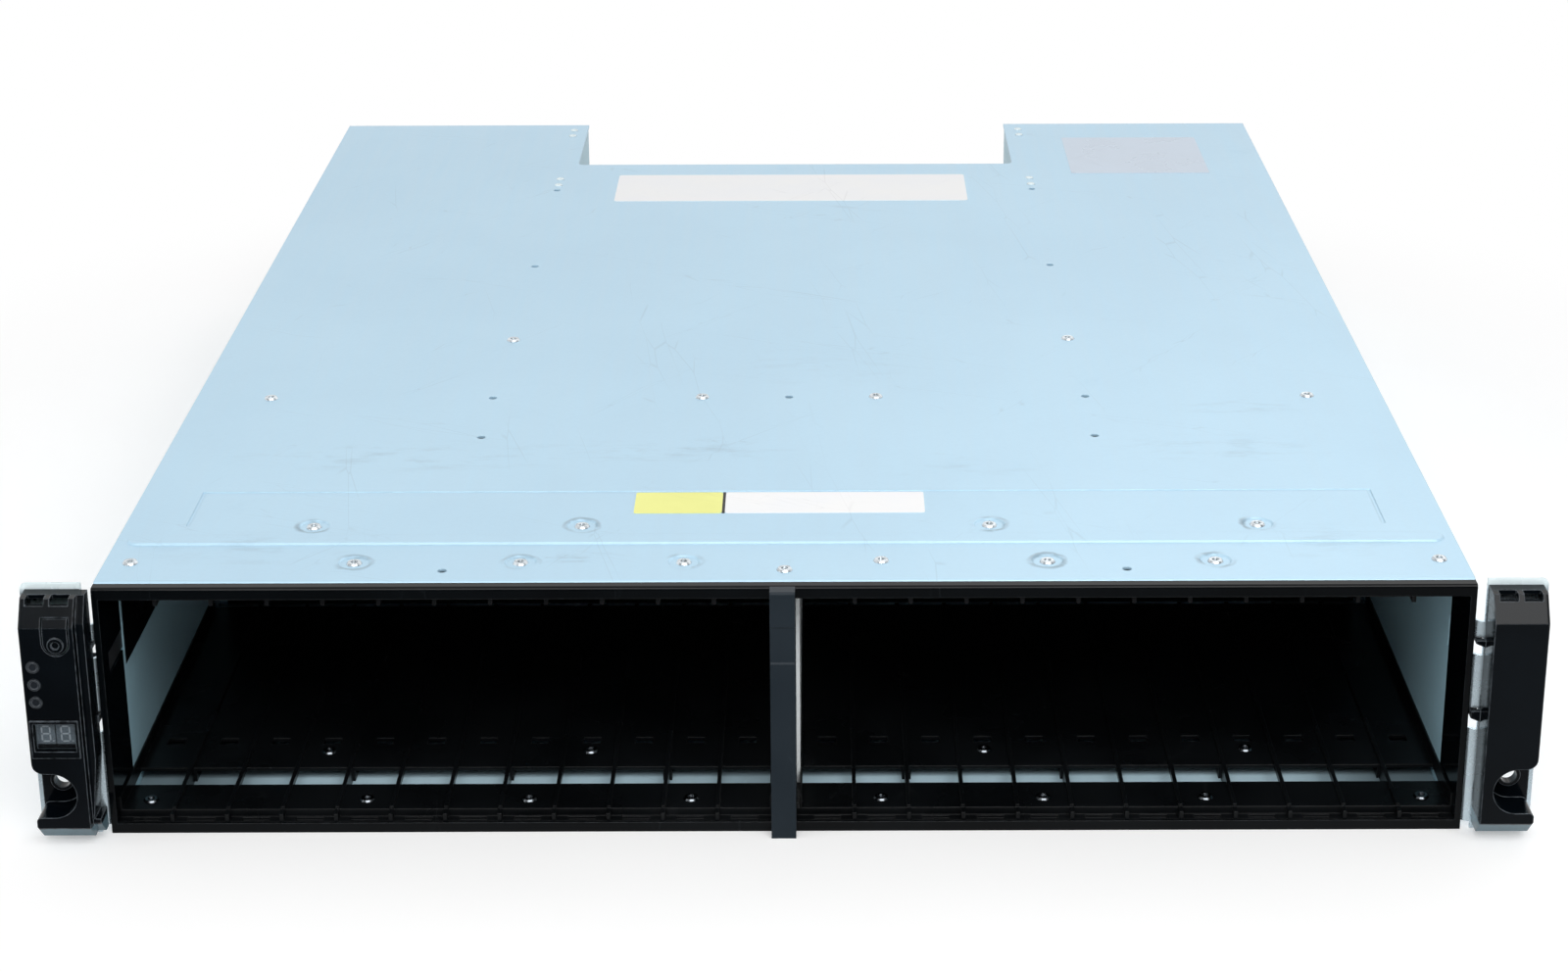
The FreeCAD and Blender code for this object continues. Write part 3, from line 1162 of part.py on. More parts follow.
def latch_recess():
    """Slot in the rear face that the latch stem slides along."""
    x, _, z = latch_spans()
    middle = (z[0] + z[1]) / 2
    stem = LATCH_HEIGHT / 6
    return box((x[0] - LATCH_TRAVEL, x[1] - LATCH_WIDTH / 2 + FIT),
               (PSU_REAR - 2 * PSU_SHEET, PSU_REAR + PSU_SHEET),
               (middle - stem - FIT, middle + stem + FIT))


def psu_latch():
    """Slider that is pushed inwards to release the module."""
    x, y, z = latch_spans()
    middle = (z[0] + z[1]) / 2
    stem_half = LATCH_HEIGHT / 6
    pad = box(x, y, z)
    thumb = box((x[0], x[0] + 3 * SHEET), (y[0], y[1] + 2 * SHEET), z)
    stem = box((x[0] + SHEET, x[0] + LATCH_WIDTH / 2 - SHEET), (PSU_REAR - 3 * PSU_SHEET, y[0]),
               (middle - stem_half, middle + stem_half))
    return joined([pad, thumb, stem])


def psu_fan_frame():
    """Fan housing behind the grille: a square frame with a round duct, motor mount and shaft."""
    x, z = fan_centre()
    half = PSU_FAN_RADIUS + PSU_FAN_WALL
    y = (PSU_REAR - PSU_SHEET - PSU_FAN_DEPTH, PSU_REAR - PSU_SHEET)
    frame = box((x - half, x + half), y, (z - half, z + half))
    frame = frame.cut(rod(PSU_FAN_RADIUS, (x, y[0] - SHEET, z), (x, y[1] + SHEET, z)))
    mount = rod(PSU_HUB_RADIUS, (x, y[0], z), (x, y[0] + 2 * PSU_FAN_WALL, z))
    shaft = rod(PSU_SHAFT_RADIUS, (x, y[0], z), (x, y[1] - 2 * PSU_FAN_WALL, z))
    arms = [turned(box((x, x + PSU_FAN_RADIUS + PSU_FAN_WALL / 2), (y[0], y[0] + PSU_FAN_WALL),
                       (z - PSU_FAN_WALL, z + PSU_FAN_WALL)), (x, 0, z), (0, 1, 0), 45 + 90 * index)
            for index in range(4)]
    return joined([frame, mount, shaft] + arms)


def psu_fan_rotor():
    """Fan hub with seven pitched blades on the shaft."""
    x, z = fan_centre()
    y0 = PSU_REAR - PSU_SHEET - PSU_FAN_DEPTH + 2 * PSU_FAN_WALL + FIT
    y1 = PSU_REAR - PSU_SHEET - PSU_FAN_WALL
    hub = rod(PSU_HUB_RADIUS, (x, y0, z), (x, y1, z))
    reach = PSU_FAN_RADIUS - PSU_BLADE_TIP_GAP
    chord = (y1 - y0) * PSU_BLADE_FILL / math.cos(math.radians(PSU_BLADE_TILT))
    middle = (y0 + y1) / 2
    blade = box((x, x + reach), (middle - chord / 2, middle + chord / 2),
                (z - PSU_BLADE_THICKNESS / 2, z + PSU_BLADE_THICKNESS / 2))
    blade = turned(blade, (x, middle, z), (1, 0, 0), PSU_BLADE_TILT)
    blade = blade.common(rod(reach, (x, y0, z), (x, y1, z)))
    blades = [turned(blade, (x, 0, z), (0, 1, 0), 360.0 / PSU_BLADE_COUNT * index)
              for index in range(PSU_BLADE_COUNT)]
    bore_end = PSU_REAR - PSU_SHEET - 2 * PSU_FAN_WALL + RUNNING_FIT
    bore = rod(PSU_SHAFT_RADIUS + RUNNING_FIT, (x, y0 - SHEET, z), (x, bore_end, z))
    return joined([hub] + blades).cut(bore)


def psu_inlet():
    """Appliance inlet: a flanged shroud with three flat pins."""
    x = psu_x(PSU_FITTINGS_INSET)
    z = PSU_LOW + INLET_Z
    half_x = INLET_WIDTH / 2 - FIT
    half_z = INLET_HEIGHT / 2 - FIT
    body = box((x - half_x, x + half_x), (PSU_REAR - INLET_DEPTH, PSU_REAR), (z - half_z, z + half_z))
    flange = box((x - half_x - INLET_FLANGE, x + half_x + INLET_FLANGE), (PSU_REAR, PSU_REAR + INLET_FLANGE),
                 (z - half_z - INLET_FLANGE, z + half_z + INLET_FLANGE))
    pocket = box((x - half_x + INLET_WALL, x + half_x - INLET_WALL),
                 (PSU_REAR - INLET_DEPTH + INLET_WALL, PSU_REAR + 2 * INLET_FLANGE),
                 (z - half_z + INLET_WALL, z + half_z - INLET_WALL))
    pin_y = (PSU_REAR - INLET_DEPTH + INLET_WALL / 2, PSU_REAR - INLET_WALL)
    pins = []
    for index, lift in ((-1, -1), (0, 1), (1, -1)):
        pin_x = x + index * INLET_PIN_PITCH
        pin_z = z + lift * INLET_PIN
        pins.append(box((pin_x - INLET_PIN / 2, pin_x + INLET_PIN / 2), pin_y,
                        (pin_z - INLET_PIN, pin_z + INLET_PIN)))
    return joined([joined([body, flange]).cut(pocket)] + pins)


def rocker_centre():
    """Pivot of the rocker switch."""
    return (psu_x(PSU_FITTINGS_INSET), PSU_REAR - ROCKER_RIM, PSU_LOW + ROCKER_Z)


def psu_switch_frame():
    """Frame of the power switch, open to the rear, with the two pivot pins."""
    x, y, z = rocker_centre()
    half_x = ROCKER_WIDTH / 2 - FIT
    half_z = ROCKER_HEIGHT / 2 - FIT
    wall = ROCKER_RIM / 2
    body = box((x - half_x, x + half_x), (PSU_REAR - ROCKER_HEIGHT, PSU_REAR), (z - half_z, z + half_z))
    rim = box((x - half_x - wall, x + half_x + wall), (PSU_REAR, PSU_REAR + wall),
              (z - half_z - wall, z + half_z + wall))
    pocket = box((x - half_x + wall, x + half_x - wall),
                 (PSU_REAR - ROCKER_HEIGHT + wall, PSU_REAR + ROCKER_RIM),
                 (z - half_z + wall, z + half_z - wall))
    pin = rod(wall, (x - half_x, y, z), (x + half_x, y, z))
    return joined([joined([body, rim]).cut(pocket), pin])


def psu_rocker():
    """Rocker of the power switch, tilted to its off side at rest."""
    x, y, z = rocker_centre()
    wall = ROCKER_RIM / 2
    half_x = ROCKER_WIDTH / 2 - FIT - wall - FIT
    half_z = ROCKER_HEIGHT / 2 - FIT - wall - 3 * FIT
    slope = math.tan(math.radians(ROCKER_SWING / 2)) * half_z
    crown = y + ROCKER_RIM + ROCKER_PROUD
    outline = [(0, y - 2 * wall, z - half_z * ROCKER_FOOT),
               (0, y + ROCKER_RIM, z - half_z),
               (0, crown, z - half_z),
               (0, crown - slope, z),
               (0, crown, z + half_z),
               (0, y + ROCKER_RIM, z + half_z),
               (0, y - 2 * wall, z + half_z * ROCKER_FOOT)]
    body = moved(slab(outline, (2 * half_x, 0, 0)), x - half_x, 0, 0)
    bore = rod(wall + RUNNING_FIT, (x - half_x - SHEET, y, z), (x + half_x + SHEET, y, z))
    return turned(body.cut(bore), (x, y, z), (1, 0, 0), -ROCKER_SWING / 2)


def psu_board():
    """Power board with two coils, two capacitors and a heat sink, on the floor of the casing."""
    x = (PSU_IN + 2 * PSU_SHEET, PSU_OUT - 2 * PSU_SHEET)
    y = (MODULE_FRONT + 2 * PSU_SHEET, PSU_REAR - PSU_SHEET - PSU_FAN_DEPTH - PSU_BOARD_GAP)
    z = PSU_LOW + PSU_SHEET
    middle = (x[0] + x[1]) / 2
    quarter = (x[1] - x[0]) / 4
    board = box(x, y, (z, z + BOARD_THICKNESS))
    top = z + BOARD_THICKNESS
    coil_y = (y[0] + y[1]) / 2
    half = PSU_COIL_SIZE / 2
    coils = [box((middle + side * quarter - half, middle + side * quarter + half),
                 (coil_y - half, coil_y + half), (top, top + PSU_COIL_HEIGHT)) for side in (-1, 1)]
    can_y = y[1] - 2 * PSU_CAN_RADIUS
    cans = [rod(PSU_CAN_RADIUS, (middle + side * quarter, can_y, top),
                (middle + side * quarter, can_y, top + PSU_CAN_HEIGHT)) for side in (-1, 1)]
    sink_y = y[0] + PSU_SINK_LENGTH
    sink = box((middle - quarter, middle + quarter), (sink_y, sink_y + PSU_SINK_LENGTH),
               (top, top + PSU_SINK_HEIGHT))
    return joined([board, sink] + coils + cans)


# ---------------------------------------------------------------- I/O modules
def lever_pivot(side):
    """Pivot of a cam lever in plan."""
    return (side * (IO_HALF - LEVER_PIVOT_INSET), IO_REAR + LEVER_CAM_RADIUS + FIT)


def io_casing(level):
    """Sheet box of an I/O module with its port openings, vents and lever ears."""
    t = IO_SHEET
    outer = box((-IO_HALF, IO_HALF), (MODULE_FRONT, IO_REAR), (level, level + IO_HEIGHT))
    inner = box((-IO_HALF + t, IO_HALF - t), (MODULE_FRONT + t, IO_REAR - t),
                (level + t, level + IO_HEIGHT - t))
    ears = []
    for side in (-1, 1):
        x, y = lever_pivot(side)
        low = level + LEVER_Z - LEVER_HEIGHT / 2 - FIT
        high = level + LEVER_Z + LEVER_HEIGHT / 2 + FIT
        for z in ((low - LEVER_EAR, low), (high, high + LEVER_EAR)):
            plate = box((x - LEVER_CAM_RADIUS, x + LEVER_CAM_RADIUS), (IO_REAR, y), z)
            nose = rod(LEVER_CAM_RADIUS, (x, y, z[0]), (x, y, z[1]))
            ears.append(joined([plate, nose]))
        ears.append(rod(LEVER_PIN_RADIUS, (x, y, low - LEVER_EAR), (x, y, high + LEVER_EAR)))
    shell = joined([outer.cut(inner)] + ears)
    face = (IO_REAR - 2 * t, IO_REAR + t)
    cuts = []
    for x in IO_PORT_PLACES:
        z = level + IO_PORT_Z
        cuts.append(box((x - IO_PORT_WIDTH / 2, x + IO_PORT_WIDTH / 2), face,
                        (z - IO_PORT_HEIGHT / 2, z + IO_PORT_HEIGHT / 2)))
    vent_radius = IO_HEIGHT / 4
    for side in (-1, 1):
        centre = (side * (IO_HALF - 2 * vent_radius), level + IO_HEIGHT - vent_radius - 2 * t)
        cuts += grille_holes(centre, vent_radius, IO_VENT_RADIUS, IO_VENT_PITCH, face)
    half = 3 * MODULE_CONNECTOR_HEIGHT / 2 + SHEET
    reach = MODULE_CONNECTOR_HEIGHT / 2 + SHEET
    middle = level + IO_HEIGHT / 2
    opening_y = (MODULE_FRONT - t, MODULE_FRONT + 2 * t)
    cuts.append(box((-half, half), opening_y, (middle - reach, middle + reach)))
    return without(shell, cuts)


def io_board(level):
    """Controller board with a bare chip and a chip under a finned heat sink."""
    t = IO_SHEET
    z = level + t + IO_BOARD_LIFT
    board = box((-IO_HALF + 2 * t, IO_HALF - 2 * t), (MODULE_FRONT + 2 * t, IO_REAR - 2 * t - IO_PORT_DEPTH),
                (z, z + BOARD_THICKNESS))
    top = z + BOARD_THICKNESS
    middle = (MODULE_FRONT + IO_REAR) / 2
    half = IO_CHIP_SIZE / 2
    chip_z = (top, top + IO_CHIP_HEIGHT)
    chip = box((IO_HALF / 3 - half, IO_HALF / 3 + half), (middle - half, middle + half), chip_z)
    base = box((-IO_HALF / 3 - half, -IO_HALF / 3 + half), (middle - half, middle + half), chip_z)
    fin_step = (IO_CHIP_SIZE - SHEET) / (IO_FIN_COUNT - 1)
    fins = [box((-IO_HALF / 3 - half, -IO_HALF / 3 + half),
                (middle - half + index * fin_step, middle - half + index * fin_step + SHEET),
                (top + IO_CHIP_HEIGHT, top + IO_HEIGHT / 3)) for index in range(IO_FIN_COUNT)]
    posts = [rod(2 * SHEET, (side * IO_HALF / 2, y, level + t), (side * IO_HALF / 2, y, z))
             for side in (-1, 1) for y in (middle - IO_CHIP_SIZE, middle + IO_CHIP_SIZE)]
    return joined([board, chip, base] + fins + posts)


def io_ports(level):
    """Port cages in the rear face of an I/O module, open to the rear."""
    cages = []
    for x in IO_PORT_PLACES:
        z = level + IO_PORT_Z
        half_x = IO_PORT_WIDTH / 2
        half_z = IO_PORT_HEIGHT / 2
        y = (IO_REAR - IO_PORT_DEPTH, IO_REAR + SHEET / 2)
        cage = box((x - half_x, x + half_x), y, (z - half_z, z + half_z))
        space = box((x - half_x + IO_PORT_WALL, x + half_x - IO_PORT_WALL),
                    (y[0] + IO_PORT_WALL, y[1] + SHEET),
                    (z - half_z + IO_PORT_WALL, z + half_z - IO_PORT_WALL))
        cages.append(cage.cut(space))
    return group(cages)


def io_lever(level, side):
    """Cam lever that lies across the rear face and swings out to draw the module."""
    x, y = lever_pivot(side)
    z = (level + LEVER_Z - LEVER_HEIGHT / 2, level + LEVER_Z + LEVER_HEIGHT / 2)
    cam = rod(LEVER_CAM_RADIUS, (x, y, z[0]), (x, y, z[1]))
    tip = x - side * LEVER_LENGTH
    arm = box((x, tip), (y - LEVER_THICKNESS / 2, y + LEVER_THICKNESS / 2), z)
    grip = box((tip, tip + side * 2 * LEVER_CAM_RADIUS), (y - LEVER_THICKNESS / 2, y + LEVER_CAM_RADIUS), z)
    bore = rod(LEVER_PIN_RADIUS + RUNNING_FIT, (x, y, z[0] - SHEET), (x, y, z[1] + SHEET))
    return joined([cam, arm, grip]).cut(bore)


def build():
    """Make every piece."""
    keep("bottom_panel", bottom_panel())
    keep("side_wall_right", side_wall())
    keep("side_wall_left", left_side_wall())
    keep("top_cover", top_cover())
    keep("cover_screws", cover_screws())
    keep("cover_rivets", group([rivet(x, y) for x, y in cover_rivets()]))
    keep("front_frame", front_frame())
    keep("drive_guide_bottom", drive_guide_bottom())
    keep("guide_screws", guide_screws())
    keep("drive_guide_top", drive_guide_top())
    keep("cage_side_right", liner(False))
    keep("cage_side_left", mirrored(liner(True)))
    keep("display_cable_cover", display_cable_cover())
    keep("display_ribbon", display_ribbon())
    keep("centre_divider", centre_divider())
    keep("centre_bar", centre_bar())
    keep("midplane_board", midplane_board())
    keep("midplane_bracket", midplane_bracket())
    keep("drive_connectors", drive_connectors())
    keep("module_connectors", module_connectors())
    keep("psu_bay_wall_right", psu_bay_wall())
    keep("psu_bay_wall_left", mirrored(psu_bay_wall()))
    keep("canister_shelf", canister_shelf())
    keep("end_cap_right", end_cap())
    keep("end_cap_left", end_cap_left())
    keep("id_button", id_button())
    keep("status_lights", status_lights())
    keep("display_board", display_board())
    keep("display_module", display_module())
    keep("display_window", display_window())
    makers = (("casing", psu_casing), ("handle", psu_handle), ("latch", psu_latch),
              ("fan_frame", psu_fan_frame), ("fan_rotor", psu_fan_rotor), ("inlet", psu_inlet),
              ("switch_frame", psu_switch_frame), ("rocker", psu_rocker), ("board", psu_board))
    for piece, maker in makers:
        shape = maker()
        keep("psu_right_%s" % piece, shape)
        keep("psu_left_%s" % piece, mirrored(shape))
    for level, name in zip(IO_LEVELS, ("lower", "upper")):
        keep("io_%s_casing" % name, io_casing(level))
        keep("io_%s_board" % name, io_board(level))
        keep("io_%s_ports" % name, io_ports(level))
        keep("io_%s_lever_right" % name, io_lever(level, 1))
        keep("io_%s_lever_left" % name, io_lever(level, -1))


def write():
    """Move every piece into the part's frame and write it."""
    os.makedirs("parts", exist_ok=True)
    for name, shape in PARTS.items():
        moved(shape, 0, -PLAN_CENTRE, 0).exportStep("parts/%s.step" % name)


build()
write()
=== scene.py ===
"""Two-unit rack disk shelf with empty bays for twenty-four 2.5-inch drives: finishes and studio."""
import bpy
import math
from mathutils import Matrix, Vector


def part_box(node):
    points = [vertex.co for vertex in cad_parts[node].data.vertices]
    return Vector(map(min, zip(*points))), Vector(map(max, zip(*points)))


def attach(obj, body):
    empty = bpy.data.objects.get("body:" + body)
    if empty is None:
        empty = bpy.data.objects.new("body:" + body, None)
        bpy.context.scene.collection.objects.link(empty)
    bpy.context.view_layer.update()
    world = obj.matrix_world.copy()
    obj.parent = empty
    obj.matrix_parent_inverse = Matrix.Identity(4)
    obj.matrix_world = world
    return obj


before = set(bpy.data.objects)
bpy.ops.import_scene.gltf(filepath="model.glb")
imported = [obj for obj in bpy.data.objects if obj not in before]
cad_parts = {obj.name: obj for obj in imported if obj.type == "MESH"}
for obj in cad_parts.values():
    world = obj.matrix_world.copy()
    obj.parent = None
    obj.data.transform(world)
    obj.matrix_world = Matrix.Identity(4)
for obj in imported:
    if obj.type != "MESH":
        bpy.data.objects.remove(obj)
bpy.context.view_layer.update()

# ---------------------------------------------------------------- Camera
# Stands in front of the shelf, a little right of its middle, and looks down on the cover
# at about nineteen degrees, with a short telephoto lens.
front_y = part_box("side_wall_left")[0].y
CAMERA_RIGHT = 0.0119
CAMERA_AHEAD = 0.8656
CAMERA_HEIGHT = 0.4712
CAMERA_TILT = math.radians(70.56)
CAMERA_ROLL = math.radians(-0.175)
camera = bpy.data.objects.new("camera", bpy.data.cameras.new("camera"))
bpy.context.scene.collection.objects.link(camera)
bpy.context.scene.camera = camera
camera.data.sensor_width = 36.0
camera.data.lens = 68.72
camera.data.shift_x = -0.0237
camera.data.shift_y = -0.0865
camera.data.clip_start = 0.01
camera.matrix_world = (
    Matrix.Translation((CAMERA_RIGHT, front_y - CAMERA_AHEAD, CAMERA_HEIGHT))
    @ Matrix.Rotation(CAMERA_TILT, 4, "X")
    @ Matrix.Rotation(CAMERA_ROLL, 4, "Z"))


# ---------------------------------------------------------------- Studio
# A white sweep under a soft box in front, with a bright rear and a dim side towards the
# viewer, so that gloss black stays black. The sweep fades to plain white away from the
# shelf and keeps a soft shadow near it.
def add_node(tree, kind, inputs=None, **settings):
    """A shader node; each input is a value or the socket that feeds it."""
    made = tree.nodes.new(kind)
    for name, value in settings.items():
        setattr(made, name, value)
    for name, value in (inputs or {}).items():
        if isinstance(value, bpy.types.NodeSocket):
            tree.links.new(value, made.inputs[name])
        else:
            made.inputs[name].default_value = value
    return made


def maths(tree, operation, first, second=0.0, clamp=False):
    """The result of one arithmetic node."""
    made = add_node(tree, "ShaderNodeMath", {0: first, 1: second}, operation=operation)
    made.use_clamp = clamp
    return made.outputs[0]


def vectors(tree, operation, first, second=(0.0, 0.0, 0.0)):
    """The outputs, Vector and Value, of one vector arithmetic node."""
    return add_node(tree, "ShaderNodeVectorMath", {0: first, 1: second}, operation=operation).outputs


def on_axis(tree, place, axis):
    """One coordinate of a place."""
    return add_node(tree, "ShaderNodeSeparateXYZ", {0: place}).outputs[axis]


def spread(tree, value, low, high):
    """A value from 0 to 1, spread between two limits."""
    made = add_node(tree, "ShaderNodeMapRange", {"Value": value, "To Min": low, "To Max": high})
    return made.outputs["Result"]


def smooth_step(tree, value, low, high):
    """0 below low, 1 above high and a soft rise between."""
    made = add_node(tree, "ShaderNodeMapRange", {"Value": value, "From Min": low, "From Max": high},
                    interpolation_type="SMOOTHSTEP")
    return made.outputs["Result"]


def blank_material(name):
    """A material with an empty node tree and its output."""
    material = bpy.data.materials.new(name)
    material.use_nodes = True
    material.node_tree.nodes.clear()
    material.node_tree.nodes.new("ShaderNodeOutputMaterial")
    return material


SWEEP_HALF = 6.0
PAPER_TO_WHITE = (0.30, 0.52)
PAPER_TONES = (0.92, 0.96)
PAPER_LIFT = 0.20
MIRROR_FRONT = (0.20, 0.34)
MIRROR_REACH = 0.25
MIRROR_DIM_LEFT = 0.88
MIRROR_DIM_RIGHT = 0.62


def sweep_material():
    """White paper near the shelf, plain white further off; its front half is dim in mirrors."""
    material = blank_material("white_sweep")
    tree = material.node_tree
    place = add_node(tree, "ShaderNodeTexCoord").outputs["Object"]
    distance = vectors(tree, "LENGTH", place)["Value"]
    light = add_node(tree, "ShaderNodeLightPath").outputs
    seen = maths(tree, "MAXIMUM", light["Is Camera Ray"], light["Is Glossy Ray"])
    seen = maths(tree, "MAXIMUM", seen, light["Is Transmission Ray"])
    away = maths(tree, "MULTIPLY", smooth_step(tree, distance, *PAPER_TO_WHITE), seen)
    ahead = smooth_step(tree, maths(tree, "MULTIPLY", on_axis(tree, place, "Y"), -1.0), *MIRROR_FRONT)
    dimming = add_node(tree, "ShaderNodeMapRange", {
        "Value": on_axis(tree, place, "X"), "From Min": -MIRROR_REACH, "From Max": MIRROR_REACH,
        "To Min": MIRROR_DIM_LEFT, "To Max": MIRROR_DIM_RIGHT})
    shade = maths(tree, "MULTIPLY", maths(tree, "MULTIPLY", ahead, light["Is Glossy Ray"]),
                  dimming.outputs[0])
    kept = maths(tree, "SUBTRACT", 1.0, shade)
    grain = add_node(tree, "ShaderNodeTexNoise", {"Vector": place, "Scale": 14.0, "Detail": 4.0})
    paper_tone = maths(tree, "MULTIPLY", spread(tree, grain.outputs["Fac"], *PAPER_TONES), kept)
    paper = add_node(tree, "ShaderNodeBsdfPrincipled", {"Base Color": paper_tone, "Roughness": 0.9})
    lift = add_node(tree, "ShaderNodeEmission", {
        "Color": (1, 1, 1, 1), "Strength": maths(tree, "MULTIPLY", seen, PAPER_LIFT)})
    lifted = add_node(tree, "ShaderNodeAddShader", {0: paper.outputs[0], 1: lift.outputs[0]})
    glow = add_node(tree, "ShaderNodeEmission", {"Color": (1, 1, 1, 1), "Strength": kept})
    mixed = add_node(tree, "ShaderNodeMixShader", {0: away, 1: lifted.outputs[0], 2: glow.outputs[0]})
    tree.links.new(mixed.outputs[0], tree.nodes["Material Output"].inputs["Surface"])
    return material


sweep_mesh = bpy.data.meshes.new("sweep")
sweep_mesh.from_pydata([(-SWEEP_HALF, -SWEEP_HALF, 0), (SWEEP_HALF, -SWEEP_HALF, 0),
                        (SWEEP_HALF, SWEEP_HALF, 0), (-SWEEP_HALF, SWEEP_HALF, 0)], [], [(0, 1, 2, 3)])
sweep = bpy.data.objects.new("sweep", sweep_mesh)
bpy.context.scene.collection.objects.link(sweep)
sweep_mesh.materials.append(sweep_material())


def soft_box(name, place, aim, width, depth, watts):
    """A rectangular soft box that faces a point."""
    lamp = bpy.data.lights.new(name, "AREA")
    lamp.shape = "RECTANGLE"
    lamp.size = width
    lamp.size_y = depth
    lamp.energy = watts
    made = bpy.data.objects.new(name, lamp)
    bpy.context.scene.collection.objects.link(made)
    made.location = place
    made.rotation_euler = (Vector(aim) - Vector(place)).to_track_quat("-Z", "Y").to_euler()


soft_box("front_above", (0.25, -1.45, 1.35), (0, -0.15, 0.03), 1.8, 0.9, 23.0)
soft_box("rear_above", (0.9, 1.3, 1.6), (0, 0.1, 0.05), 2.0, 1.0, 6.0)
soft_box("left_side", (-1.9, -0.9, 0.6), (0, -0.2, 0.04), 0.7, 1.0, 7.0)

WORLD_DIFFUSE = 0.42
WORLD_DIM_SIDE = 0.05
WORLD_REAR = (-0.35, 0.25)
WORLD_TOP = (0.45, 0.8)
world = bpy.data.worlds.new("studio")
bpy.context.scene.world = world
world.use_nodes = True
tree = world.node_tree
tree.nodes.clear()
direction = add_node(tree, "ShaderNodeTexCoord").outputs["Generated"]
rearward = smooth_step(tree, on_axis(tree, direction, "Y"), *WORLD_REAR)
upward = smooth_step(tree, on_axis(tree, direction, "Z"), *WORLD_TOP)
mirrored = spread(tree, maths(tree, "MAXIMUM", rearward, upward), WORLD_DIM_SIDE, 1.0)
ray = add_node(tree, "ShaderNodeLightPath").outputs
reflected = maths(tree, "MULTIPLY", ray["Is Glossy Ray"], mirrored)
clear_view = maths(tree, "MAXIMUM", ray["Is Camera Ray"], ray["Is Transmission Ray"])
ambient = maths(tree, "MULTIPLY", ray["Is Diffuse Ray"], WORLD_DIFFUSE)
strength = maths(tree, "MAXIMUM", maths(tree, "MAXIMUM", reflected, clear_view), ambient)
backdrop = add_node(tree, "ShaderNodeBackground", {"Color": (1, 1, 1, 1), "Strength": strength})
add_node(tree, "ShaderNodeOutputWorld", {"Surface": backdrop.outputs[0]})
bpy.context.scene.view_settings.view_transform = "Standard"


# ---------------------------------------------------------------- Galvanised body
# Floor, side walls with rack flanges and the long top cover, folded from one-millimetre
# zinc-coated steel. The coating is smooth and bluish, with rolling lines along the sheet,
# soft clouding, handling marks and grey rub rings round the cover's pressed screws.
def new_group(name, inputs, outputs):
    """An empty shader node group with named inputs (kind, default) and outputs (kind)."""
    group = bpy.data.node_groups.new(name, "ShaderNodeTree")
    for label, (kind, default) in inputs.items():
        socket = group.interface.new_socket(label, in_out="INPUT", socket_type="NodeSocket" + kind)
        if default is not None:
            socket.default_value = default
    for label, kind in outputs.items():
        group.interface.new_socket(label, in_out="OUTPUT", socket_type="NodeSocket" + kind)
    return group, group.nodes.new("NodeGroupInput").outputs, group.nodes.new("NodeGroupOutput")


def place_group(tree, group, inputs):
    """The outputs of a group placed in a material with its own values."""
    return add_node(tree, "ShaderNodeGroup", inputs, node_tree=group).outputs


def stretched(tree, vector, scale):
    """Coordinates drawn out along the axes by a vector of scales."""
    made = add_node(tree, "ShaderNodeMapping", {"Vector": vector, "Scale": scale})
    return made.outputs[0]


def noise(tree, vector, scale, detail=3.0, roughness=0.5):
    """One noise value."""
    made = add_node(tree, "ShaderNodeTexNoise", {"Vector": vector, "Scale": scale, "Detail": detail,
                                                 "Roughness": roughness})
    return made.outputs["Fac"]


def build_edge_wear_and_highlight():
    """Mask along outer edges, broken up by noise, and a normal that rounds those edges."""
    group, given, result = new_group("edge_wear_and_highlight", {
        "Vector": ("Vector", None), "Width": ("Float", 0.0008), "Breakup": ("Float", 260.0),
        "Broken": ("Float", 0.35)}, {"Mask": "Float", "Normal": "Vector"})
    rounded = add_node(group, "ShaderNodeBevel", {"Radius": given["Width"]}, samples=4).outputs[0]
    flat = add_node(group, "ShaderNodeNewGeometry").outputs["True Normal"]
    turn = maths(group, "SUBTRACT", 1.0, vectors(group, "DOT_PRODUCT", rounded, flat)["Value"])
    rim = smooth_step(group, turn, 0.02, 0.22)
    patches = add_node(group, "ShaderNodeTexNoise", {
        "Vector": given["Vector"], "Scale": given["Breakup"], "Detail": 3.0})
    kept = smooth_step(group, patches.outputs["Fac"], given["Broken"], 0.62)
    group.links.new(maths(group, "MULTIPLY", rim, kept), result.inputs["Mask"])
    group.links.new(rounded, result.inputs["Normal"])
    return group


def build_zinc_coat():
    """Clouding, fine grain and rolling lines of a zinc coating, each from 0 to 1."""
    group, given, result = new_group("zinc_coat", {
        "Vector": ("Vector", None), "Along": ("Vector", (1.0, 1.0, 1.0))},
        {"Cloud": "Float", "Grain": "Float", "Lines": "Float"})
    cloud = noise(group, given["Vector"], 9.0, 5.0, 0.55)
    cells = add_node(group, "ShaderNodeTexVoronoi", {"Vector": given["Vector"], "Scale": 900.0})
    spangle = add_node(group, "ShaderNodeSeparateColor", {0: cells.outputs["Color"]}).outputs[0]
    along = vectors(group, "MULTIPLY", given["Vector"], given["Along"])["Vector"]
    lines = noise(group, along, 1.0, 4.0, 0.6)
    group.links.new(smooth_step(group, cloud, 0.3, 0.7), result.inputs["Cloud"])
    group.links.new(spangle, result.inputs["Grain"])
    group.links.new(smooth_step(group, lines, 0.3, 0.7), result.inputs["Lines"])
    return group


SCRATCH_RUNS = ((0.4, 26.0), (-0.9, 34.0), (1.4, 18.0))
SCRATCH_LENGTH = 9.0


